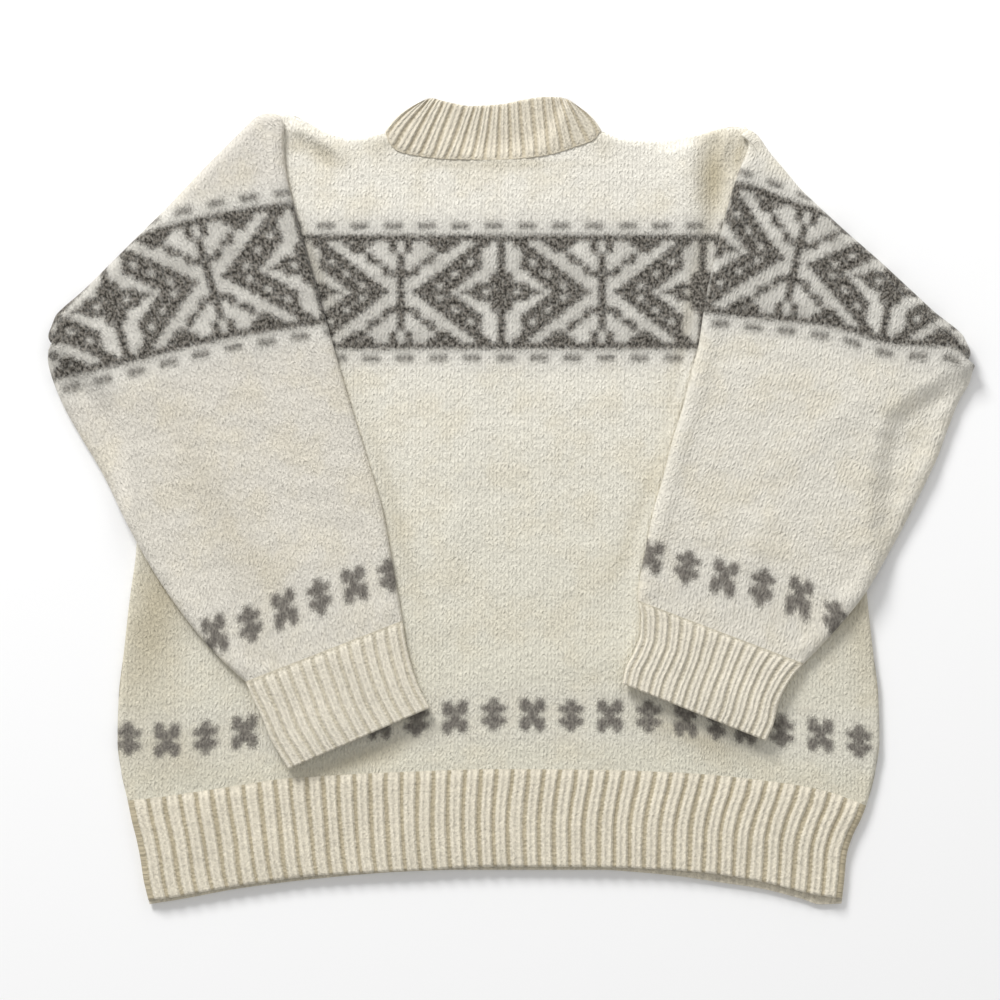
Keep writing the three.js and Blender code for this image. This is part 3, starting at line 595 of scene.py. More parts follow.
def band_level(across, up):
    """How dark a stitch of the wide band is, counted from the middle of a repeat.
    The band is built of a diamond, a thick chevron, a thin one and upright stems, the same four ways."""
    diagonal = across + up
    chevron_start = {8: 2}.get(up, 3 if up >= 5 else 0)
    diamond = (5, 4, 2, 1)
    if up == 9 or across == 0:
        return 1.0
    if across == 13:
        return 1.0 if up <= 6 else 0.0
    if across == 12 and up >= 7:
        return 1.0
    if up <= 3 and across <= diamond[up]:
        return 0.5 if across == diamond[up] or diagonal == 2 else 1.0
    if 7 <= diagonal <= 11 and across >= chevron_start:
        return 0.5 if diagonal == 9 else 1.0
    if (up == 8 and 6 <= across <= 9) or (up == 7 and 7 <= across <= 8):
        return 1.0
    if diagonal == 14:
        return 0.5
    return 1.0 if diagonal == 15 else 0.0


def small_level(across, up, is_tall):
    """The small motifs above the ribs, 3 stitches by 5 rows: an open cross, or one standing upright."""
    if up == 2:
        return across == (0 if is_tall else 1)
    return across <= up


# The chart of the whole jumper. Each stop of the ramp holds one row, one bit to a stitch.
chart, (at_stitch, at_row, motif_at, motif_shift), chart_out = new_group(
    "knitting chart", ["Stitch", "Row", "Motif Row", "Motif Shift"], ["Dark"]
)
chart_width = 14
ramp_stops = 32
first_motif_stop = 12
dash_row = 11.0
dash_pitch = 26 / 6
dash_half_width = 1.3
rows_of_bits = []
for up in range(10):
    levels = [band_level(across, up) for across in range(chart_width)]
    rows_of_bits.append(
        [sum(1 << n for n, level in enumerate(levels) if level == wanted) for wanted in (1.0, 0.5)]
    )
rows_of_bits += [[0, 0]] * (first_motif_stop - len(rows_of_bits))
for is_tall in (False, True):
    for up in range(3):
        rows_of_bits.append([sum(1 << n for n in range(2) if small_level(n, up, is_tall)), 0])
u = calc("FLOOR", at_stitch + 0.5)
slant = abs(calc("FRACT", at_stitch + 0.5) - 0.5)
v = calc("FLOOR", at_row + 0.65 - slant * 0.6)
away = abs(v)
band_across = calc("FLOOR", calc("PINGPONG", u, 13.0) + 0.5)
motif_u = u - motif_shift
motif_number = calc("FLOOR", (motif_u + 2.0) * (1 / 5) + 0.01)
motif_across = abs(motif_u - motif_number * 5.0)
motif_up = abs(v - motif_at)
in_motif = motif_up < 2.5
motif_stop = motif_up + calc("PINGPONG", motif_number, 1.0) * 3.0 + first_motif_stop
band_stop = calc("MINIMUM", away, 10.0)
stop = band_stop + (motif_stop - band_stop) * in_motif
across = band_across + (motif_across - band_across) * in_motif
ramp = chart.nodes.new("ShaderNodeValToRGB")
ramp.color_ramp.interpolation = "CONSTANT"
for n, (full, part) in enumerate(rows_of_bits):
    stop_mark = ramp.color_ramp.elements[0] if n == 0 else ramp.color_ramp.elements.new(n / ramp_stops)
    stop_mark.color = ((full + 0.5) / 2**chart_width, (part + 0.5) / 2**chart_width, 0.0, 1.0)
plug(ramp.inputs[0], (stop + 0.5) * (1 / ramp_stops))
bits = chart.nodes.new("ShaderNodeSeparateColor")
chart.links.new(ramp.outputs["Color"], bits.inputs[0])
power = calc("POWER", 2.0, chart_width - across)
full = calc("MODULO", calc("FLOOR", Wire(chart, bits.outputs[0]) * power), 2.0)
part = calc("MODULO", calc("FLOOR", Wire(chart, bits.outputs[1]) * power), 2.0)
every_second = calc("PINGPONG", u, 1.0) * 0.5 + 0.1
from_dashes = abs(abs(at_row) - dash_row)
dash_shift = calc("SIGN", v) * 0.75 + 0.25
in_dash = calc("PINGPONG", at_stitch + dash_shift, dash_pitch / 2) < dash_half_width
dash = (from_dashes < 0.75) * in_dash * 0.5
whole = full * (1.0 + in_motif * 0.6) + part * every_second * (1.0 - in_motif)
plug(chart_out.inputs["Dark"], calc("MAXIMUM", whole, dash))

# Felting drags fibres of one colour over the next: the chart is read at three shaken and frayed places.
felted, (at_stitch, at_row, motif_at, motif_shift), felted_out = new_group(
    "felted chart", ["Stitch", "Row", "Motif Row", "Motif Shift"], ["Dark"]
)
total = None
for layer, (pitch, reach_of) in enumerate(((1.2, 0.9), (2.7, 1.7), (4.6, 2.0))):
    _, shake = noise(at_stitch * pitch, at_row * (pitch * 0.8), 17.0 + layer, 2.0)
    fray = scatter(at_stitch, at_row, 31.0 + layer)
    level = use_group(
        chart,
        at_stitch + (shake[0] - 0.5) * reach_of + (fray[0] - 0.5) * 0.8,
        at_row + (shake[1] - 0.5) * (reach_of * 1.3) + (fray[1] - 0.5) * 1.0,
        motif_at,
        motif_shift,
    )[0]
    total = level if total is None else total + level
plug(felted_out.inputs["Dark"], step_up(total, 0.1, 2.2))


def wool_material(name):
    material = bpy.data.materials.new(name)
    material.use_nodes = True
    tree = material.node_tree
    surface = tree.nodes["Principled BSDF"]
    surface.inputs["Roughness"].default_value = 0.92
    surface.inputs["Specular IOR Level"].default_value = 0.18
    surface.inputs["Sheen Weight"].default_value = 0.2
    surface.inputs["Sheen Roughness"].default_value = 0.45
    surface.inputs["Sheen Tint"].default_value = (1.0, 0.98, 0.93, 1)
    place = tree.nodes.new("ShaderNodeAttribute")
    place.attribute_name = "knit_place"
    parts = tree.nodes.new("ShaderNodeSeparateXYZ")
    tree.links.new(place.outputs["Vector"], parts.inputs[0])
    return material, tree, surface, [Wire(tree, socket) for socket in parts.outputs]


def raise_surface(tree, surface, height, distance):
    bump = tree.nodes.new("ShaderNodeBump")
    bump.inputs["Strength"].default_value = 1.0
    bump.inputs["Distance"].default_value = distance
    plug(bump.inputs["Height"], height)
    tree.links.new(bump.outputs["Normal"], surface.inputs["Normal"])


yellow_patch = paint(210, 201, 178)
grey_beside_band = paint(206, 203, 195)
# The colour that painted shade mixes the cream wool towards.
painted_shade_wool = paint(176, 166, 140)
dark_brown = paint(46, 43, 38)
pale_brown = paint(114, 109, 101)
motif_brown = paint(122, 117, 110)


def patterned_wool(name, motif_at, motif_shift, cream_high, cream_low):
    """Cream wool with a grey-brown band, two rows of dashes and a row of small motifs."""
    material, tree, surface, (at_stitch, at_row, unshaded) = wool_material(name)
    relief = use_group(stitches, at_stitch, at_row)[0]
    streak, speck, blotch = use_group(fibres, at_stitch, at_row)
    dark = use_group(felted, at_stitch, at_row, motif_at, motif_shift)[0]
    cream = mix(step_up(at_row, -100.0, 30.0), paint(*cream_low), paint(*cream_high))
    cream = mix(step_up(blotch, 0.42, 0.66) * 0.35, cream, yellow_patch)
    near_band = 1.0 - step_up(abs(at_row), 10.0, 15.0)
    near_motif = 1.0 - step_up(abs(at_row - motif_at), 2.5, 6.5)
    light = mix(near_band * 0.9 + near_motif * 0.3, cream, grey_beside_band)
    # Painted shade: in folds, beside the sleeves and under the cuffs the wool is mixed towards a darker,
    # yellower colour.
    light = mix(1.0 - unshaded, light, painted_shade_wool)
    brown = mix(step_up(speck, 0.36, 0.64), dark_brown, pale_brown)
    brown = mix(near_motif * 0.6, brown, motif_brown)
    inside_band = 1.0 - step_up(abs(at_row), 8.5, 11.5)
    smudge = inside_band * step_up(speck * 0.5 + blotch * 0.5, 0.38, 0.62) * 0.36
    haze = calc("MAXIMUM", dark * (step_up(streak, 0.3, 0.62) * 0.3 + 0.78), smudge)
    colour = mix(calc("MINIMUM", haze, 1.0), light, brown)
    # The stitch relief also darkens the colour between the legs of the stitches, as painted shade; streaks,
    # specks and the band's flecks are the fibres' own uneven tone.
    shade = relief * 0.15 + (streak - 0.5) * 0.45 + (speck - 0.5) * (inside_band * 0.6 + 0.45) + 0.95
    plug(surface.inputs["Base Color"], brighten(colour, shade))
    raise_surface(tree, surface, relief * 0.45 + streak * 0.9 + speck * 0.7, 0.0012)
    return material


body_wool = patterned_wool("body wool", body_motif_row, 4.0, (224, 220, 209), (210, 206, 189))
back_shell.data.materials.append(body_wool)


# Front panel: the layer underneath, on the surface. It is the same stranded knitting as the back, cut
# lower at the neck, and joined to the back along the sides and shoulders.
neck_front = [
    (-100.4, 294.4, -70.8, 320.8), (-95.6, 283.2, -65.2, 312.0), (-87.6, 267.2, -58.0, 297.6),
    (-70.0, 248.0, -48.4, 281.6), (-42.0, 236.0, -30.8, 270.4), (-12.4, 232.8, -11.6, 267.2),
    (18.0, 236.0, 7.6, 270.4), (42.8, 248.0, 26.8, 281.6), (58.8, 267.2, 38.0, 297.6),
    (66.0, 283.2, 44.4, 312.0), (70.0, 296.0, 50.0, 317.6),
]
front_shell = body_panel("front_shell", neck_front, [], False, 110, 55, 45)
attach(front_shell, "root")
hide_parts("front_panel")
front_shell.data.materials.append(body_wool)


# Hem ribs: one knit stitch and one purl stitch in turn, so the knit stitches stand up as cords.
# The back rib is seen; the front rib lies flat under it and shows a little below its lower edge.
hem_back_rows = [
    (-290.0, -317.6), (-278.0, -316.8), (-250.0, -312.0), (-206.0, -304.8), (-154.8, -298.4), (-78.0, -294.4),
    (-10.0, -291.2), (79.6, -292.0), (142.8, -295.2), (194.0, -302.4), (245.2, -314.4), (263.6, -316.8),
]
hem_front_rows = [
    (-290.0, -321.4), (-266.0, -317.6), (-218.0, -308.8), (-154.0, -300.8), (-90.0, -295.6), (-42.0, -294.0),
    (70.0, -294.0), (102.0, -296.0), (134.0, -299.2), (166.0, -304.0), (198.0, -308.8), (230.0, -316.8),
    (246.0, -321.6), (264.4, -320.8),
]
rib_rise = 1.6
rib_half_width = 0.42
hem_rib_height = 80.0
hem_rim_steps = [0.972, 0.982, 0.99, 0.996, 1.0]


def rib_profile(count_at):
    """Height of a rib from 0 in the groove to 1 on its crest. Two strands make a rib, with a dip between."""
    off = np.abs(count_at - np.floor(count_at) - 0.5)
    return ease((rib_half_width - off) / 0.15) * (0.75 + 0.25 * ease(off / 0.17))


def lip(distance, radius=1.5):
    """How far a cut edge stands out, 0 at the edge and 1 past its rounding."""
    return quarter(distance, radius) / radius


def hem_rib(name, rows, ribs, is_back, points_a_rib, along_count):
    edge_line = through(rows, 0, 1)
    steps = np.linspace(sewn_row / hem_rib_height, 0.96, along_count)
    v = np.concatenate([[0], steps, hem_rim_steps])[:, None]
    y_left = between(rib_seam_rows[0][1], rows[0][1], v)
    y_right = between(rib_seam_rows[-1][1], rows[-1][1], v)
    x_left, x_right = left_side(y_left), right_side(y_right)
    width = x_right - x_left
    u = across_steps(width, ribs * points_a_rib + 1)
    x = x_left + width * u
    y_seam = rib_seam(x)
    y = between(y_seam, edge_line(x), v)
    d = np.minimum(x - x_left, x_right - x)
    rib_at = np.clip((u * width - edge) / (width - 2 * edge), 0, 1) * ribs
    wander = 0.035 * ripple(rib_at * 1.3, v * 2, 2.4, 11)
    crest = rib_profile(rib_at + wander * np.minimum(1, 8 * v))
    sign = 1 if is_back else -1
    to_edge = np.abs(y - edge_line(x))
    strength = (0.12 + 0.88 * ease((y_seam - y) / 6)) * (1 + 0.15 * ripple(rib_at, v * 3, 5, 12))
    rise = rib_rise * crest * strength * lip(to_edge, 3) if is_back else 0 * x
    seam_z = half + sign * seam_gap / 2
    full = sign * np.maximum(0.4, quarter(d, edge))
    core = sign * 0.5 * (edge - wall / 2)
    outer_z = seam_z + core + (full - core) * lip(to_edge) + rise
    inner_z = seam_z + sign * quarter(d - wall, edge - wall)
    if not is_back:
        outer_z = np.maximum(outer_z, 0)
    outer = np.stack([x, y, outer_z], axis=-1)
    inner = np.stack([x, y, inner_z + 0 * x], axis=-1)
    place = np.stack([rib_at * 2, v * 21 + 0 * x, crest if is_back else 0.6 + 0 * x], axis=-1)
    return knit_wall(name, outer, inner, place, place, False, (True, False))


hem_back_shell = hem_rib("hem_rib_back_shell", hem_back_rows, 46, True, 12, 30)
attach(hem_back_shell, "root")
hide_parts("hem_rib_back")

hem_front_shell = hem_rib("hem_rib_front_shell", hem_front_rows, 46, False, 3, 20)
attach(hem_front_shell, "root")
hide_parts("hem_rib_front")


# The rib wool is lit and coloured by the height on each rib: cream cords of two strands, and between them
# grooves painted a darker tan as shade.
cords, (at_stitch, at_row, crest), cords_out = new_group(
    "rib cords", ["Stitch", "Row", "Crest"], ["Height", "Strand"]
)
_, shake = noise(at_stitch * 0.8, at_row * 0.8, 21.0, 1.0)
u = at_stitch * 0.5 + (shake[0] - 0.5) * 0.12
v = at_row + (shake[1] - 0.5) * 0.5
off = abs(calc("FRACT", u) - 0.5)
on_cord = step_up(crest, 0.3, 0.7)
strand_off = abs(off - 0.2)
two = 1.0 - step_up(strand_off, 0.02, 0.19)
loop = abs(calc("SINE", (v - strand_off * 5.0) * math.pi))
purl_off = calc("PINGPONG", u * 4.0, 1.0)
bar = abs(calc("SINE", (v + purl_off * 0.8) * math.pi))
strand = (two * 0.75 + loop * 0.25) * on_cord + bar * 0.5 * (1.0 - on_cord)
plug(cords_out.inputs["Strand"], strand)
plug(cords_out.inputs["Height"], strand + crest * 0.8)


def ribbed_wool(name, cord, groove):
    material, tree, surface, (at_stitch, at_row, crest) = wool_material(name)
    height, strand = use_group(cords, at_stitch, at_row, crest)
    streak, speck, blotch = use_group(fibres, at_stitch, at_row)
    # Painted shade: the grooves between the cords get the darker groove colour.
    colour = mix(step_up(crest + (speck - 0.5) * 0.9, 0.0, 0.6), paint(*groove), paint(*cord))
    # The strands also darken the colour between them, as painted shade; streaks, specks and blotches are the
    # fibres' own uneven tone.
    shade = strand * 0.16 + (streak - 0.5) * 0.6 + (speck - 0.5) * 0.6 + (blotch - 0.5) * 0.3 + 0.88
    plug(surface.inputs["Base Color"], brighten(colour, shade))
    raise_surface(tree, surface, height * 0.5 + streak * 0.9 + speck * 0.7, 0.0009)
    return material


hem_wool = ribbed_wool("hem rib wool", (223, 215, 196), (188, 177, 151))
hem_back_shell.data.materials.append(hem_wool)
hem_front_shell.data.materials.append(hem_wool)


# Sleeves: flat tubes of the same knitting, sewn to the armholes, laid out and folded back over the body.
# Each is folded once along a slanting line near the elbow side, so its lower half lies on the back panel.
fold_gap = 0.4
sleeve_stitch = 6.15
sleeve_motif_row = -53.0
fall = 22.0
overhang = 1.5
sleeve_left_rows = [
    (-187.5, 309.0, -366.5, 131.0), (-182.4, 296.8, -371.2, 121.6), (-181.2, 281.6, -370.8, 116.0),
    (-178.8, 257.6, -369.6, 110.4), (-172.4, 229.6, -367.6, 102.4), (-162.0, 192.0, -363.6, 89.6),
    (-152.4, 159.2, -357.2, 74.4), (-141.2, 118.4, -344.4, 51.2), (-129.2, 77.6, -329.2, 25.6),
    (-116.4, 36.8, -310.0, -12.8), (-103.6, -6.4, -286.0, -56.0), (-96.4, -44.8, -259.6, -94.4),
    (-91.6, -72.0, -235.6, -122.4), (-87.6, -94.4, -213.2, -143.2),
]
sleeve_right_rows = [
    (180.0, 290.0, 363.0, 119.0), (185.2, 281.6, 369.2, 114.4), (178.8, 261.6, 371.2, 112.4),
    (168.4, 224.0, 370.8, 110.4), (158.8, 185.6, 369.2, 105.6), (152.4, 152.0, 364.8, 94.4),
    (148.4, 125.6, 356.4, 80.0), (142.0, 101.6, 347.6, 57.6), (135.6, 75.2, 340.4, 37.6),
    (127.6, 49.6, 330.8, 16.8), (119.6, 18.4, 318.0, -8.8), (112.4, -6.4, 302.0, -38.4),
    (106.0, -38.4, 279.6, -75.2), (102.0, -58.4, 252.4, -108.0), (99.6, -78.4, 232.4, -128.8),
]
rest_left = [
    (-366.5, 131.0), (-322.0, 97.4), (-309.0, 80.0), (-303.0, 58.0), (-299.6, 21.6),
    (-300.4, -34.4), (-306.0, -78.4), (-315.6, -190.4),
]
rest_right = [
    (363.0, 119.0), (308.0, 86.5), (293.5, 72.0), (285.5, 52.0), (280.4, 17.6),
    (279.6, -36.8), (283.6, -81.6), (293.2, -191.2),
]


def rest_height(chain, hand, x, y):
    """Height of what lies under the folded sleeve, falling to the floor past its edge."""
    distance, side = nearest(chain, x, y)
    outside = np.where(side * hand > 0, -distance, distance)
    return (thick + fold_gap) * (1 - ease((outside - overhang) / fall))


def flat_ring(width, far_count, near_count, turn_count):
    """Places across and through a flat tube, all round it, starting at the underarm edge.
    Gives outer and inner places as rows of across, through, and +1 on the far face or -1 on the near one."""
    small = half - wall
    inset = half / width
    outer, inner = [], []

    def turn(centre, first, last, count, with_last):
        for k in range(count + (1 if with_last else 0)):
            angle = math.radians(first + (last - first) * k / count)
            c, s = math.cos(angle), math.sin(angle)
            face = 1 if s > 1e-9 or (abs(s) <= 1e-9 and c > 0 and first == 0) else -1
            outer.append((centre + half * c, half + half * s, face))
            inner.append((centre + small * c, half + small * s, face))

    turn(width - half, 0, 90, turn_count, True)
    for share in np.linspace(1 - inset, inset, far_count + 2)[1:-1]:
        outer.append((share * width, thick, 1))
        inner.append((share * width, thick - wall, 1))
    turn(half, 90, 270, 2 * turn_count, True)
    for share in np.linspace(inset, 1 - inset, near_count + 2)[1:-1]:
        outer.append((share * width, 0, -1))
        inner.append((share * width, wall, -1))
    turn(width - half, 270, 360, turn_count, False)
    return np.array(outer), np.array(inner)


def row_lines(table):
    """Each row of a table is a row number and the line that it follows, as places x, y."""
    return [(row, through(points, 0, 1)) for row, points in table]


sleeve_left_lines = row_lines(
    [
        (50.0, [(-460.0, 385.0), (-220.0, 440.0), (0.0, 470.0)]),
        (9.0, [
            (-460.0, 172.0), (-365.2, 192.0), (-295.6, 210.4), (-246.8, 223.2), (-180.4, 235.2),
            (-60.0, 247.0),
        ]),
        (-9.0, [
            (-460.0, 68.0), (-365.2, 97.6), (-295.6, 116.0), (-231.6, 132.0), (-152.4, 144.0), (-60.0, 153.0),
        ]),
        (sleeve_motif_row, [
            (-330.0, -148.0), (-239.6, -104.8), (-208.4, -96.0), (-181.2, -83.2), (-154.0, -74.4),
            (-126.0, -64.0), (-99.6, -57.6), (-60.0, -48.0),
        ]),
        (-60.5, [(-330.0, -190.0), (-213.2, -144.0), (-87.6, -95.2), (-40.0, -77.0)]),
        (-65.5, [(-330.0, -214.0), (-213.2, -168.0), (-87.6, -119.2), (-40.0, -101.0)]),
    ]
)
sleeve_right_lines = row_lines(
    [
        (50.0, [(0.0, 470.0), (220.0, 440.0), (460.0, 390.0)]),
        (9.0, [
            (60.0, 262.0), (178.8, 252.0), (242.8, 235.2), (300.0, 222.0), (360.0, 208.0), (460.0, 184.0),
        ]),
        (-9.0, [
            (60.0, 160.0), (153.2, 152.8), (211.6, 147.2), (258.0, 141.6), (303.6, 129.6), (357.2, 125.6),
            (460.0, 96.0),
        ]),
        (sleeve_motif_row, [
            (60.0, -30.0), (114.0, -43.2), (140.4, -51.2), (170.0, -59.2), (200.4, -66.4), (232.4, -74.4),
            (256.4, -92.0), (330.0, -130.0),
        ]),
        (-60.5, [(60.0, -64.0), (99.6, -78.4), (232.4, -128.8), (330.0, -166.0)]),
        (-65.5, [(60.0, -88.0), (99.6, -102.4), (232.4, -152.8), (330.0, -190.0)]),
    ]
)


def row_at(lines, x, y):
    """The row number of a place, between the row lines above and below it."""
    row = np.full(np.shape(x), lines[0][0], float)
    for (row_above, line_above), (row_below, line_below) in zip(lines[:-1], lines[1:]):
        high, low = line_above(x), line_below(x)
        t = (high - y) / (high - low)
        row = np.where(t >= 0, row_above + (row_below - row_above) * t, row)
    return row


# Spots where shade is painted into the sleeves' wool, by their soft folds.
sleeve_painted_shade = [(-246, 16, 70, 14, -66, 0.25), (-196, -60, 40, 12, -58, 0.2), (296, -10, 40, 16, 60, 0.15)]


# How deep into the sleeve the bends of its fold reach, and how far and how wide its far tip is pushed out.
bend_depth = 45.0
tip_depth = 10.0
tip_push = 4.0
tip_width = 9.0


def left_fold_bend(along):
    """How far the left sleeve's fold stands out from a straight line, and how far its tips are rounded in."""
    out = 3.2 * ease((along - 2) / 16) - 1.4 * ease((along - 60) / 60) + 1.8 * ease((along - 205) / 30)
    return out, -6.5 * (1 - ease((along + 4) / 14)) - 6.0 * ease((along - 236) / 16)


def right_fold_bend(along):
    sag = -3.6 * ease((along - 30) / 40) * (1 - 0.4 * ease((along - 100) / 60))
    sag = sag * (1 - ease((along - 205) / 30))
    return 4.5 * bell(along - 9, 14) + sag, -4.5 * ease((along - 236) / 14)


def sleeve(
    name, rows, armhole_end, underarm, rest_chain, hand, lines, overarm_stitch, cuff_drift, folds, fold_bend
):
    """A flat tube from the armhole out to the fold and back to the cuff. Hand is 1 for the left sleeve and
    -1 for the right one. The cuff drift is how many stitches the chart has moved at the cuff, and by which
    share its stitches are closer there."""
    lengths = np.concatenate(
        [[0], np.cumsum([
            0.5 * math.hypot(b[0] - a[0], b[1] - a[1]) + 0.5 * math.hypot(b[2] - a[2], b[3] - a[3])
            for a, b in zip(rows[:-1], rows[1:])
        ])]
    )
    keyed = [(length, *row) for length, row in zip(lengths, rows)]
    columns = [through(keyed, 0, n) for n in range(1, 5)]
    over_chain = [(row[0], row[1]) for row in rows]
    under_chain = [(row[2], row[3]) for row in rows]
    first = np.array(rows[0], float)
    axis = first[2:] - first[:2]
    axis_length = np.linalg.norm(axis)
    outward = hand * np.array([axis[1], -axis[0]]) / axis_length
    outer_rows, inner_rows, outer_places, inner_places = [], [], [], []

    def place_of(x, y, s, face):
        row = row_at(lines, x, y)
        shift, closer = cuff_drift
        low = ease((-20 - row) / 30)
        u = overarm_stitch + shift * low - hand * face * s / sleeve_stitch * (1 + closer * low)
        # The third value is less where shade is painted on the sleeve.
        unshaded = 1 - np.minimum(1, swell(sleeve_painted_shade, x, y))
        return np.stack([u, row, unshaded], axis=-1)

    def add(over, under, put, flat_put):
        width = np.linalg.norm(under - over)
        outer, inner = flat_ring(width, 96, 40, 6)
        for ring, rows_out, places_out in (
            (outer, outer_rows, outer_places),
            (inner, inner_rows, inner_places),
        ):
            s, w, face = ring.T
            x = between(over[0], under[0], s / width)
            y = between(over[1], under[1], s / width)
            rows_out.append(put(x, y, w))
            fx, fy = flat_put(x, y, w)
            chain_distance, _ = nearest(over_chain, fx, fy)
            distance = np.where(s < 12, s, chain_distance)
            place = place_of(fx, fy, distance, face)
            wrap = place[:1].copy()
            wrap[0, 0] = 2 * overarm_stitch - wrap[0, 0]
            places_out.append(np.concatenate([place, wrap]))

    start_over = np.array([armhole_end[0] - hand * seam_gap / 2, armhole_end[1]])
    start_under = np.array([underarm[0] - hand * seam_gap / 2, underarm[1]])
    turn_length = math.pi * (thick + fold_gap / 2)

    def unfolded(x, y, reach_out):
        """The place, in the folded sleeve's own plane, of cloth that lies beyond the fold."""
        inside = (first[0] - x) * outward[0] + (first[1] - y) * outward[1]
        return x + outward[0] * (2 * inside + reach_out), y + outward[1] * (2 * inside + reach_out)

    for t in np.linspace(0, 1, 12, endpoint=False):
        add(
            between(start_over, first[:2], t),
            between(start_under, first[2:], t),
            lambda x, y, w: np.stack([x, y, thick - w], axis=-1),
            lambda x, y, w: unfolded(x, y, turn_length),
        )
    for angle in np.linspace(0, math.pi, 15):
        def bend(x, y, w, angle=angle):
            radius = w + fold_gap / 2
            return np.stack(
                [
                    x + outward[0] * radius * math.sin(angle),
                    y + outward[1] * radius * math.sin(angle),
                    thick + fold_gap / 2 - radius * math.cos(angle),
                ],
                axis=-1,
            )

        def bend_flat(x, y, w, angle=angle):
            arc = (w + fold_gap / 2) * (math.pi - angle)
            return x + outward[0] * arc, y + outward[1] * arc

        add(first[:2], first[2:], bend, bend_flat)

    def bent(rows_of_points):
        """The fold is not quite straight: cloth near it is moved out or in."""
        points = np.array(rows_of_points)
        from_tip = points[..., :2] - first[:2]
        along = from_tip @ (axis / axis_length)
        inside = np.maximum(0, -(from_tip @ outward))
        wide_bend, tip_bend = fold_bend(along)
        shift = wide_bend * bell(inside, bend_depth) + tip_bend * bell(inside, tip_depth)
        push = tip_push * bell(np.linalg.norm(points[..., :2] - first[2:], axis=-1), tip_width)
        points[..., :2] += shift[..., None] * outward + push[..., None] * axis / axis_length
        return points

    def lay(x, y, w):
        top = ease((w - half) / half)
        from_edge = np.minimum(nearest(over_chain, x, y)[0], nearest(under_chain, x, y)[0])
        roll = 1.8 * bell(from_edge - 8, 7)
        soft = swell(folds, x, y) + roll + 0.4 * ripple(x, y, 60, 7) + 0.18 * ripple(x, y, 22, 8)
        from_fold = nearest([tuple(first[:2]), tuple(first[2:])], x, y)[0]
        from_cuff = nearest([over_chain[-1], under_chain[-1]], x, y)[0]
        fade = ease(from_fold / 20) * ease(from_cuff / 12)
        return np.stack([x, y, rest_height(rest_chain, hand, x, y) + w + soft * top * fade], axis=-1)

    for length in [*np.linspace(0, lengths[-1] - sewn_row, 149)[1:], lengths[-1]]:
        over_x, over_y, under_x, under_y = (float(c(length)) for c in columns)
        add(np.array([over_x, over_y]), np.array([under_x, under_y]), lay, lambda x, y, w: (x, y))
    return knit_wall(name, bent(outer_rows), bent(inner_rows), outer_places, inner_places, True, (True, True))


left_folds = [
    (-250, 10, 70, 11, -66, 2.0), (-196, 150, 44, 14, 62, 1.3), (-160, -60, 40, 12, -58, 1.4),
    (-228, -40, 36, 7, -62, 1.0), (-296, 84, 34, 14, 40, 0.6),
]
right_folds = [
    (312, 22, 26, 9, 8, 0.9), (304, -4, 26, 8, 16, 0.9), (250, 60, 52, 13, 38, 1.3),
    (190, -40, 46, 12, 64, 1.3), (318, 62, 26, 10, 30, 0.7), (286, -30, 16, 6, 20, 0.7),
]
sleeve_left_shell = sleeve(
    "sleeve_left_shell", sleeve_left_rows, shoulder_end_left, underarm_left, rest_left, 1,
    sleeve_left_lines, overarm_stitch=26.0, cuff_drift=(1.6, 0.055),
    folds=left_folds, fold_bend=left_fold_bend,
)
sleeve_right_shell = sleeve(
    "sleeve_right_shell", sleeve_right_rows, shoulder_end_right, underarm_right, rest_right, -1,
    sleeve_right_lines, overarm_stitch=-23.5, cuff_drift=(0.8, 0.0),
    folds=right_folds, fold_bend=right_fold_bend,
)
for piece, node in ((sleeve_left_shell, "sleeve_left"), (sleeve_right_shell, "sleeve_right")):
    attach(piece, "root")
    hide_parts(node)

sleeve_left_shell.data.materials.append(
    patterned_wool("left sleeve wool", sleeve_motif_row, 2.0, (204, 199, 189), (216, 211, 198))
)
sleeve_right_shell.data.materials.append(
    patterned_wool("right sleeve wool", sleeve_motif_row, -2.0, (216, 212, 201), (214, 209, 196))
)


# Cuffs: short tubes of cream wool rib, knitted on at the sleeve ends, which they draw in.
# They lie on the back panel, with their open ends riding up a little.
# Each row of a table is one step along the cuff: the two ends of the flat tube, and how far it rides up.
cuff_left_rows = [
    (-87.6, -94.4, -213.2, -143.2, 0.0), (-86.0, -107.2, -206.8, -157.6, 0.3),
    (-82.8, -122.4, -199.6, -172.8, 0.8), (-77.2, -140.8, -192.4, -190.4, 1.6),
    (-71.6, -153.6, -185.2, -202.4, 2.3), (-66.0, -164.0, -178.8, -212.8, 2.8),
]
cuff_right_rows = [
    (99.6, -78.4, 232.4, -128.8, 0.0), (102.4, -90.4, 224.4, -137.6, 0.3),
    (102.0, -104.0, 216.4, -150.4, 0.8), (97.2, -118.4, 211.6, -161.6, 1.6),
    (90.0, -132.8, 208.4, -176.0, 2.3), (87.6, -144.8, 202.0, -190.4, 2.8),
]
cuff_step = 14.0
cuff_rim_steps = [4.9, 4.94, 4.97, 4.99, 5.0]


def ribs_round(ring, width, ribs, along, steadiness, fade, row, seed):
    """Ribs on the upper face of a flat tube: how far each point is raised, from 0 to 1, whether it is on
    that face, and its place in the knitting."""
    s, w = ring.T[:2]
    rib_at = (s - half) / (width - 2 * half) * ribs
    wander = 0.045 * ripple(rib_at * 1.3, 0 * s + along, 2.6, seed)
    on_far = ease((w - half) / (0.5 * half))
    crest = rib_profile(rib_at + wander * steadiness) * on_far * fade
    place = np.stack([rib_at * 2, 0 * s + row, crest + 0.5 * (1 - on_far)], axis=-1)
    return crest, on_far, np.concatenate([place, place[:1]])


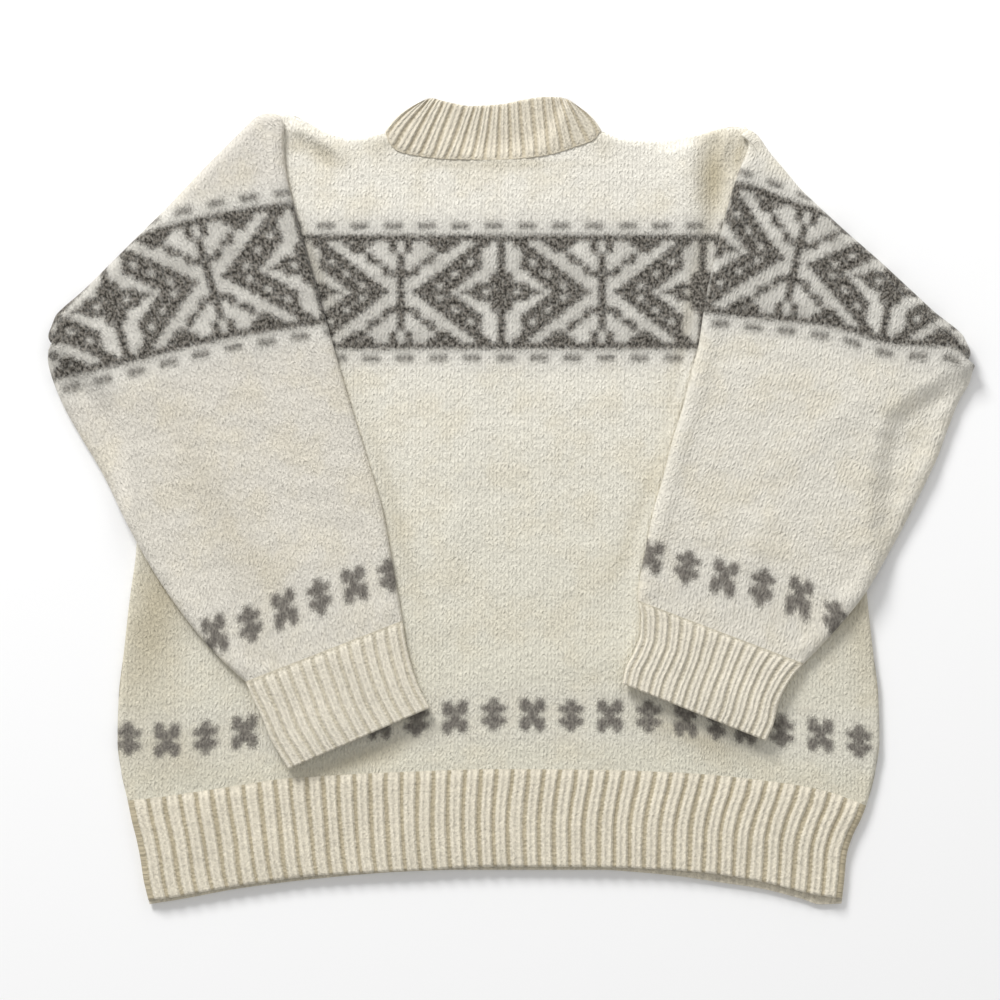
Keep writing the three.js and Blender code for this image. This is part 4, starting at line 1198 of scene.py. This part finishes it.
def cuff(name, rows, ribs):
    index = [(n, *row) for n, row in enumerate(rows)]
    columns = [through(index, 0, n) for n in range(1, 6)]
    steps = np.concatenate([[0], np.linspace(sewn_row / cuff_step, 4.85, 25), cuff_rim_steps])
    outer_rows, inner_rows, places = [], [], []
    for step in steps:
        over_x, over_y, under_x, under_y, lift = (float(c(step)) for c in columns)
        width = math.hypot(under_x - over_x, under_y - over_y)
        outer, inner = flat_ring(width, ribs * 12, 30, 5)
        edge_in = lip((5.0 - step) * cuff_step)
        fade = ease(step / 0.4)
        crest, _, place = ribs_round(outer, width, ribs, step * 0.5, min(1, step), fade, step * 4.4, 13)
        places.append(place)
        raised = half + (outer[:, 1] - half) * (0.55 + 0.45 * edge_in) + 0.8 * rib_rise * crest * edge_in
        for ring, rows_out, w in ((outer, outer_rows, raised), (inner, inner_rows, inner[:, 1])):
            share = ring[:, 0] / width
            x = between(over_x, under_x, share)
            y = between(over_y, under_y, share)
            rows_out.append(np.stack([x, y, thick + fold_gap + lift + w], axis=-1))
    return knit_wall(name, outer_rows, inner_rows, places, places, True, (True, False))


cuff_left_shell = cuff("cuff_left_shell", cuff_left_rows, 12)
cuff_right_shell = cuff("cuff_right_shell", cuff_right_rows, 12)
cuff_wool = ribbed_wool("cuff wool", (222, 215, 198), (204, 196, 176))
for piece, node in ((cuff_left_shell, "cuff_left"), (cuff_right_shell, "cuff_right")):
    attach(piece, "root")
    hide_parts(node)
    piece.data.materials.append(cuff_wool)


# Neck band: a ribbed tube picked up round the neck. Its back half stands up from the neck line and lies
# flat; its front half follows the lower front neck line underneath.
neck_band_height = 42.0
neck_rim_steps = [0.965, 0.98, 0.99, 0.996, 1.0]


def neck_band(name, ribs):
    pieces = [math.hypot(b[0] - a[0], b[1] - a[1]) for a, b in zip(neck_back[:-1], neck_back[1:])]
    lengths = np.concatenate([[0], np.cumsum(pieces)])
    total = float(lengths[-1])
    halves = []
    for table in (neck_back, neck_front):
        keyed = [(length / total, *row) for length, row in zip(lengths, table)]
        halves.append([through(keyed, 0, n) for n in range(1, 5)])
    front_rim = through([(row[2], row[3]) for row in neck_front], 0, 1)

    def spot(columns, f, t):
        base_x, base_y, rim_x, rim_y = (c(f) for c in columns)
        return between(base_x, rim_x, t), between(base_y, rim_y, t)

    steps = np.concatenate([[0], np.linspace(sewn_row / neck_band_height, 0.95, 29), neck_rim_steps])
    outer_rows, inner_rows, places = [], [], []
    for t in steps:
        outer, inner = flat_ring(total, ribs * 11, 40, 5)
        edge_in = lip((1 - t) * neck_band_height, 1.8)
        fade = 0.35 + 0.65 * ease(t / 0.12)
        crest, on_far, place = ribs_round(outer, total, ribs, t * 2, min(1, 6 * t), fade, t * 12, 14)
        places.append(place)
        ridge = 0.5 * bell(t, 0.08) * on_far
        raised = half + (outer[:, 1] - half) * (0.5 + 0.5 * edge_in) + rib_rise * crest * edge_in + ridge
        for ring, rows_out, height in ((outer, outer_rows, raised), (inner, inner_rows, inner[:, 1])):
            s, w = ring.T[:2]
            f = s / total
            share = ease(2 * (w - wall) / hollow)
            back_x, back_y = spot(halves[0], f, t)
            front_x, front_y = spot(halves[1], f, t)
            x = between(front_x, back_x, share)
            y = between(front_y, back_y, share)
            bulge = math.sin(math.pi * (0.15 + 0.85 * t))
            left_bulge = 4.5 * bulge * bell(s, 14)
            right_bulge = 3.0 * bulge * bell(total - s, 14)
            x = x - 0.665 * left_bulge + 0.735 * right_bulge
            y = y + 0.746 * left_bulge + 0.68 * right_bulge
            inside_reach = (back_x > neck_front[0][2]) & (back_x < neck_front[-1][2])
            beyond = np.where(inside_reach, back_y - front_rim(back_x), 0)
            sag = (thick - wall) * ease(beyond / fall) * share
            rows_out.append(np.stack([x, y, height - sag], axis=-1))
    return knit_wall(name, outer_rows, inner_rows, places, places, True, (True, False))


neck_shell = neck_band("neck_band_shell", 17)
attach(neck_shell, "root")
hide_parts("neck_band")
neck_shell.data.materials.append(ribbed_wool("neck wool", (214, 206, 188), (194, 184, 162)))
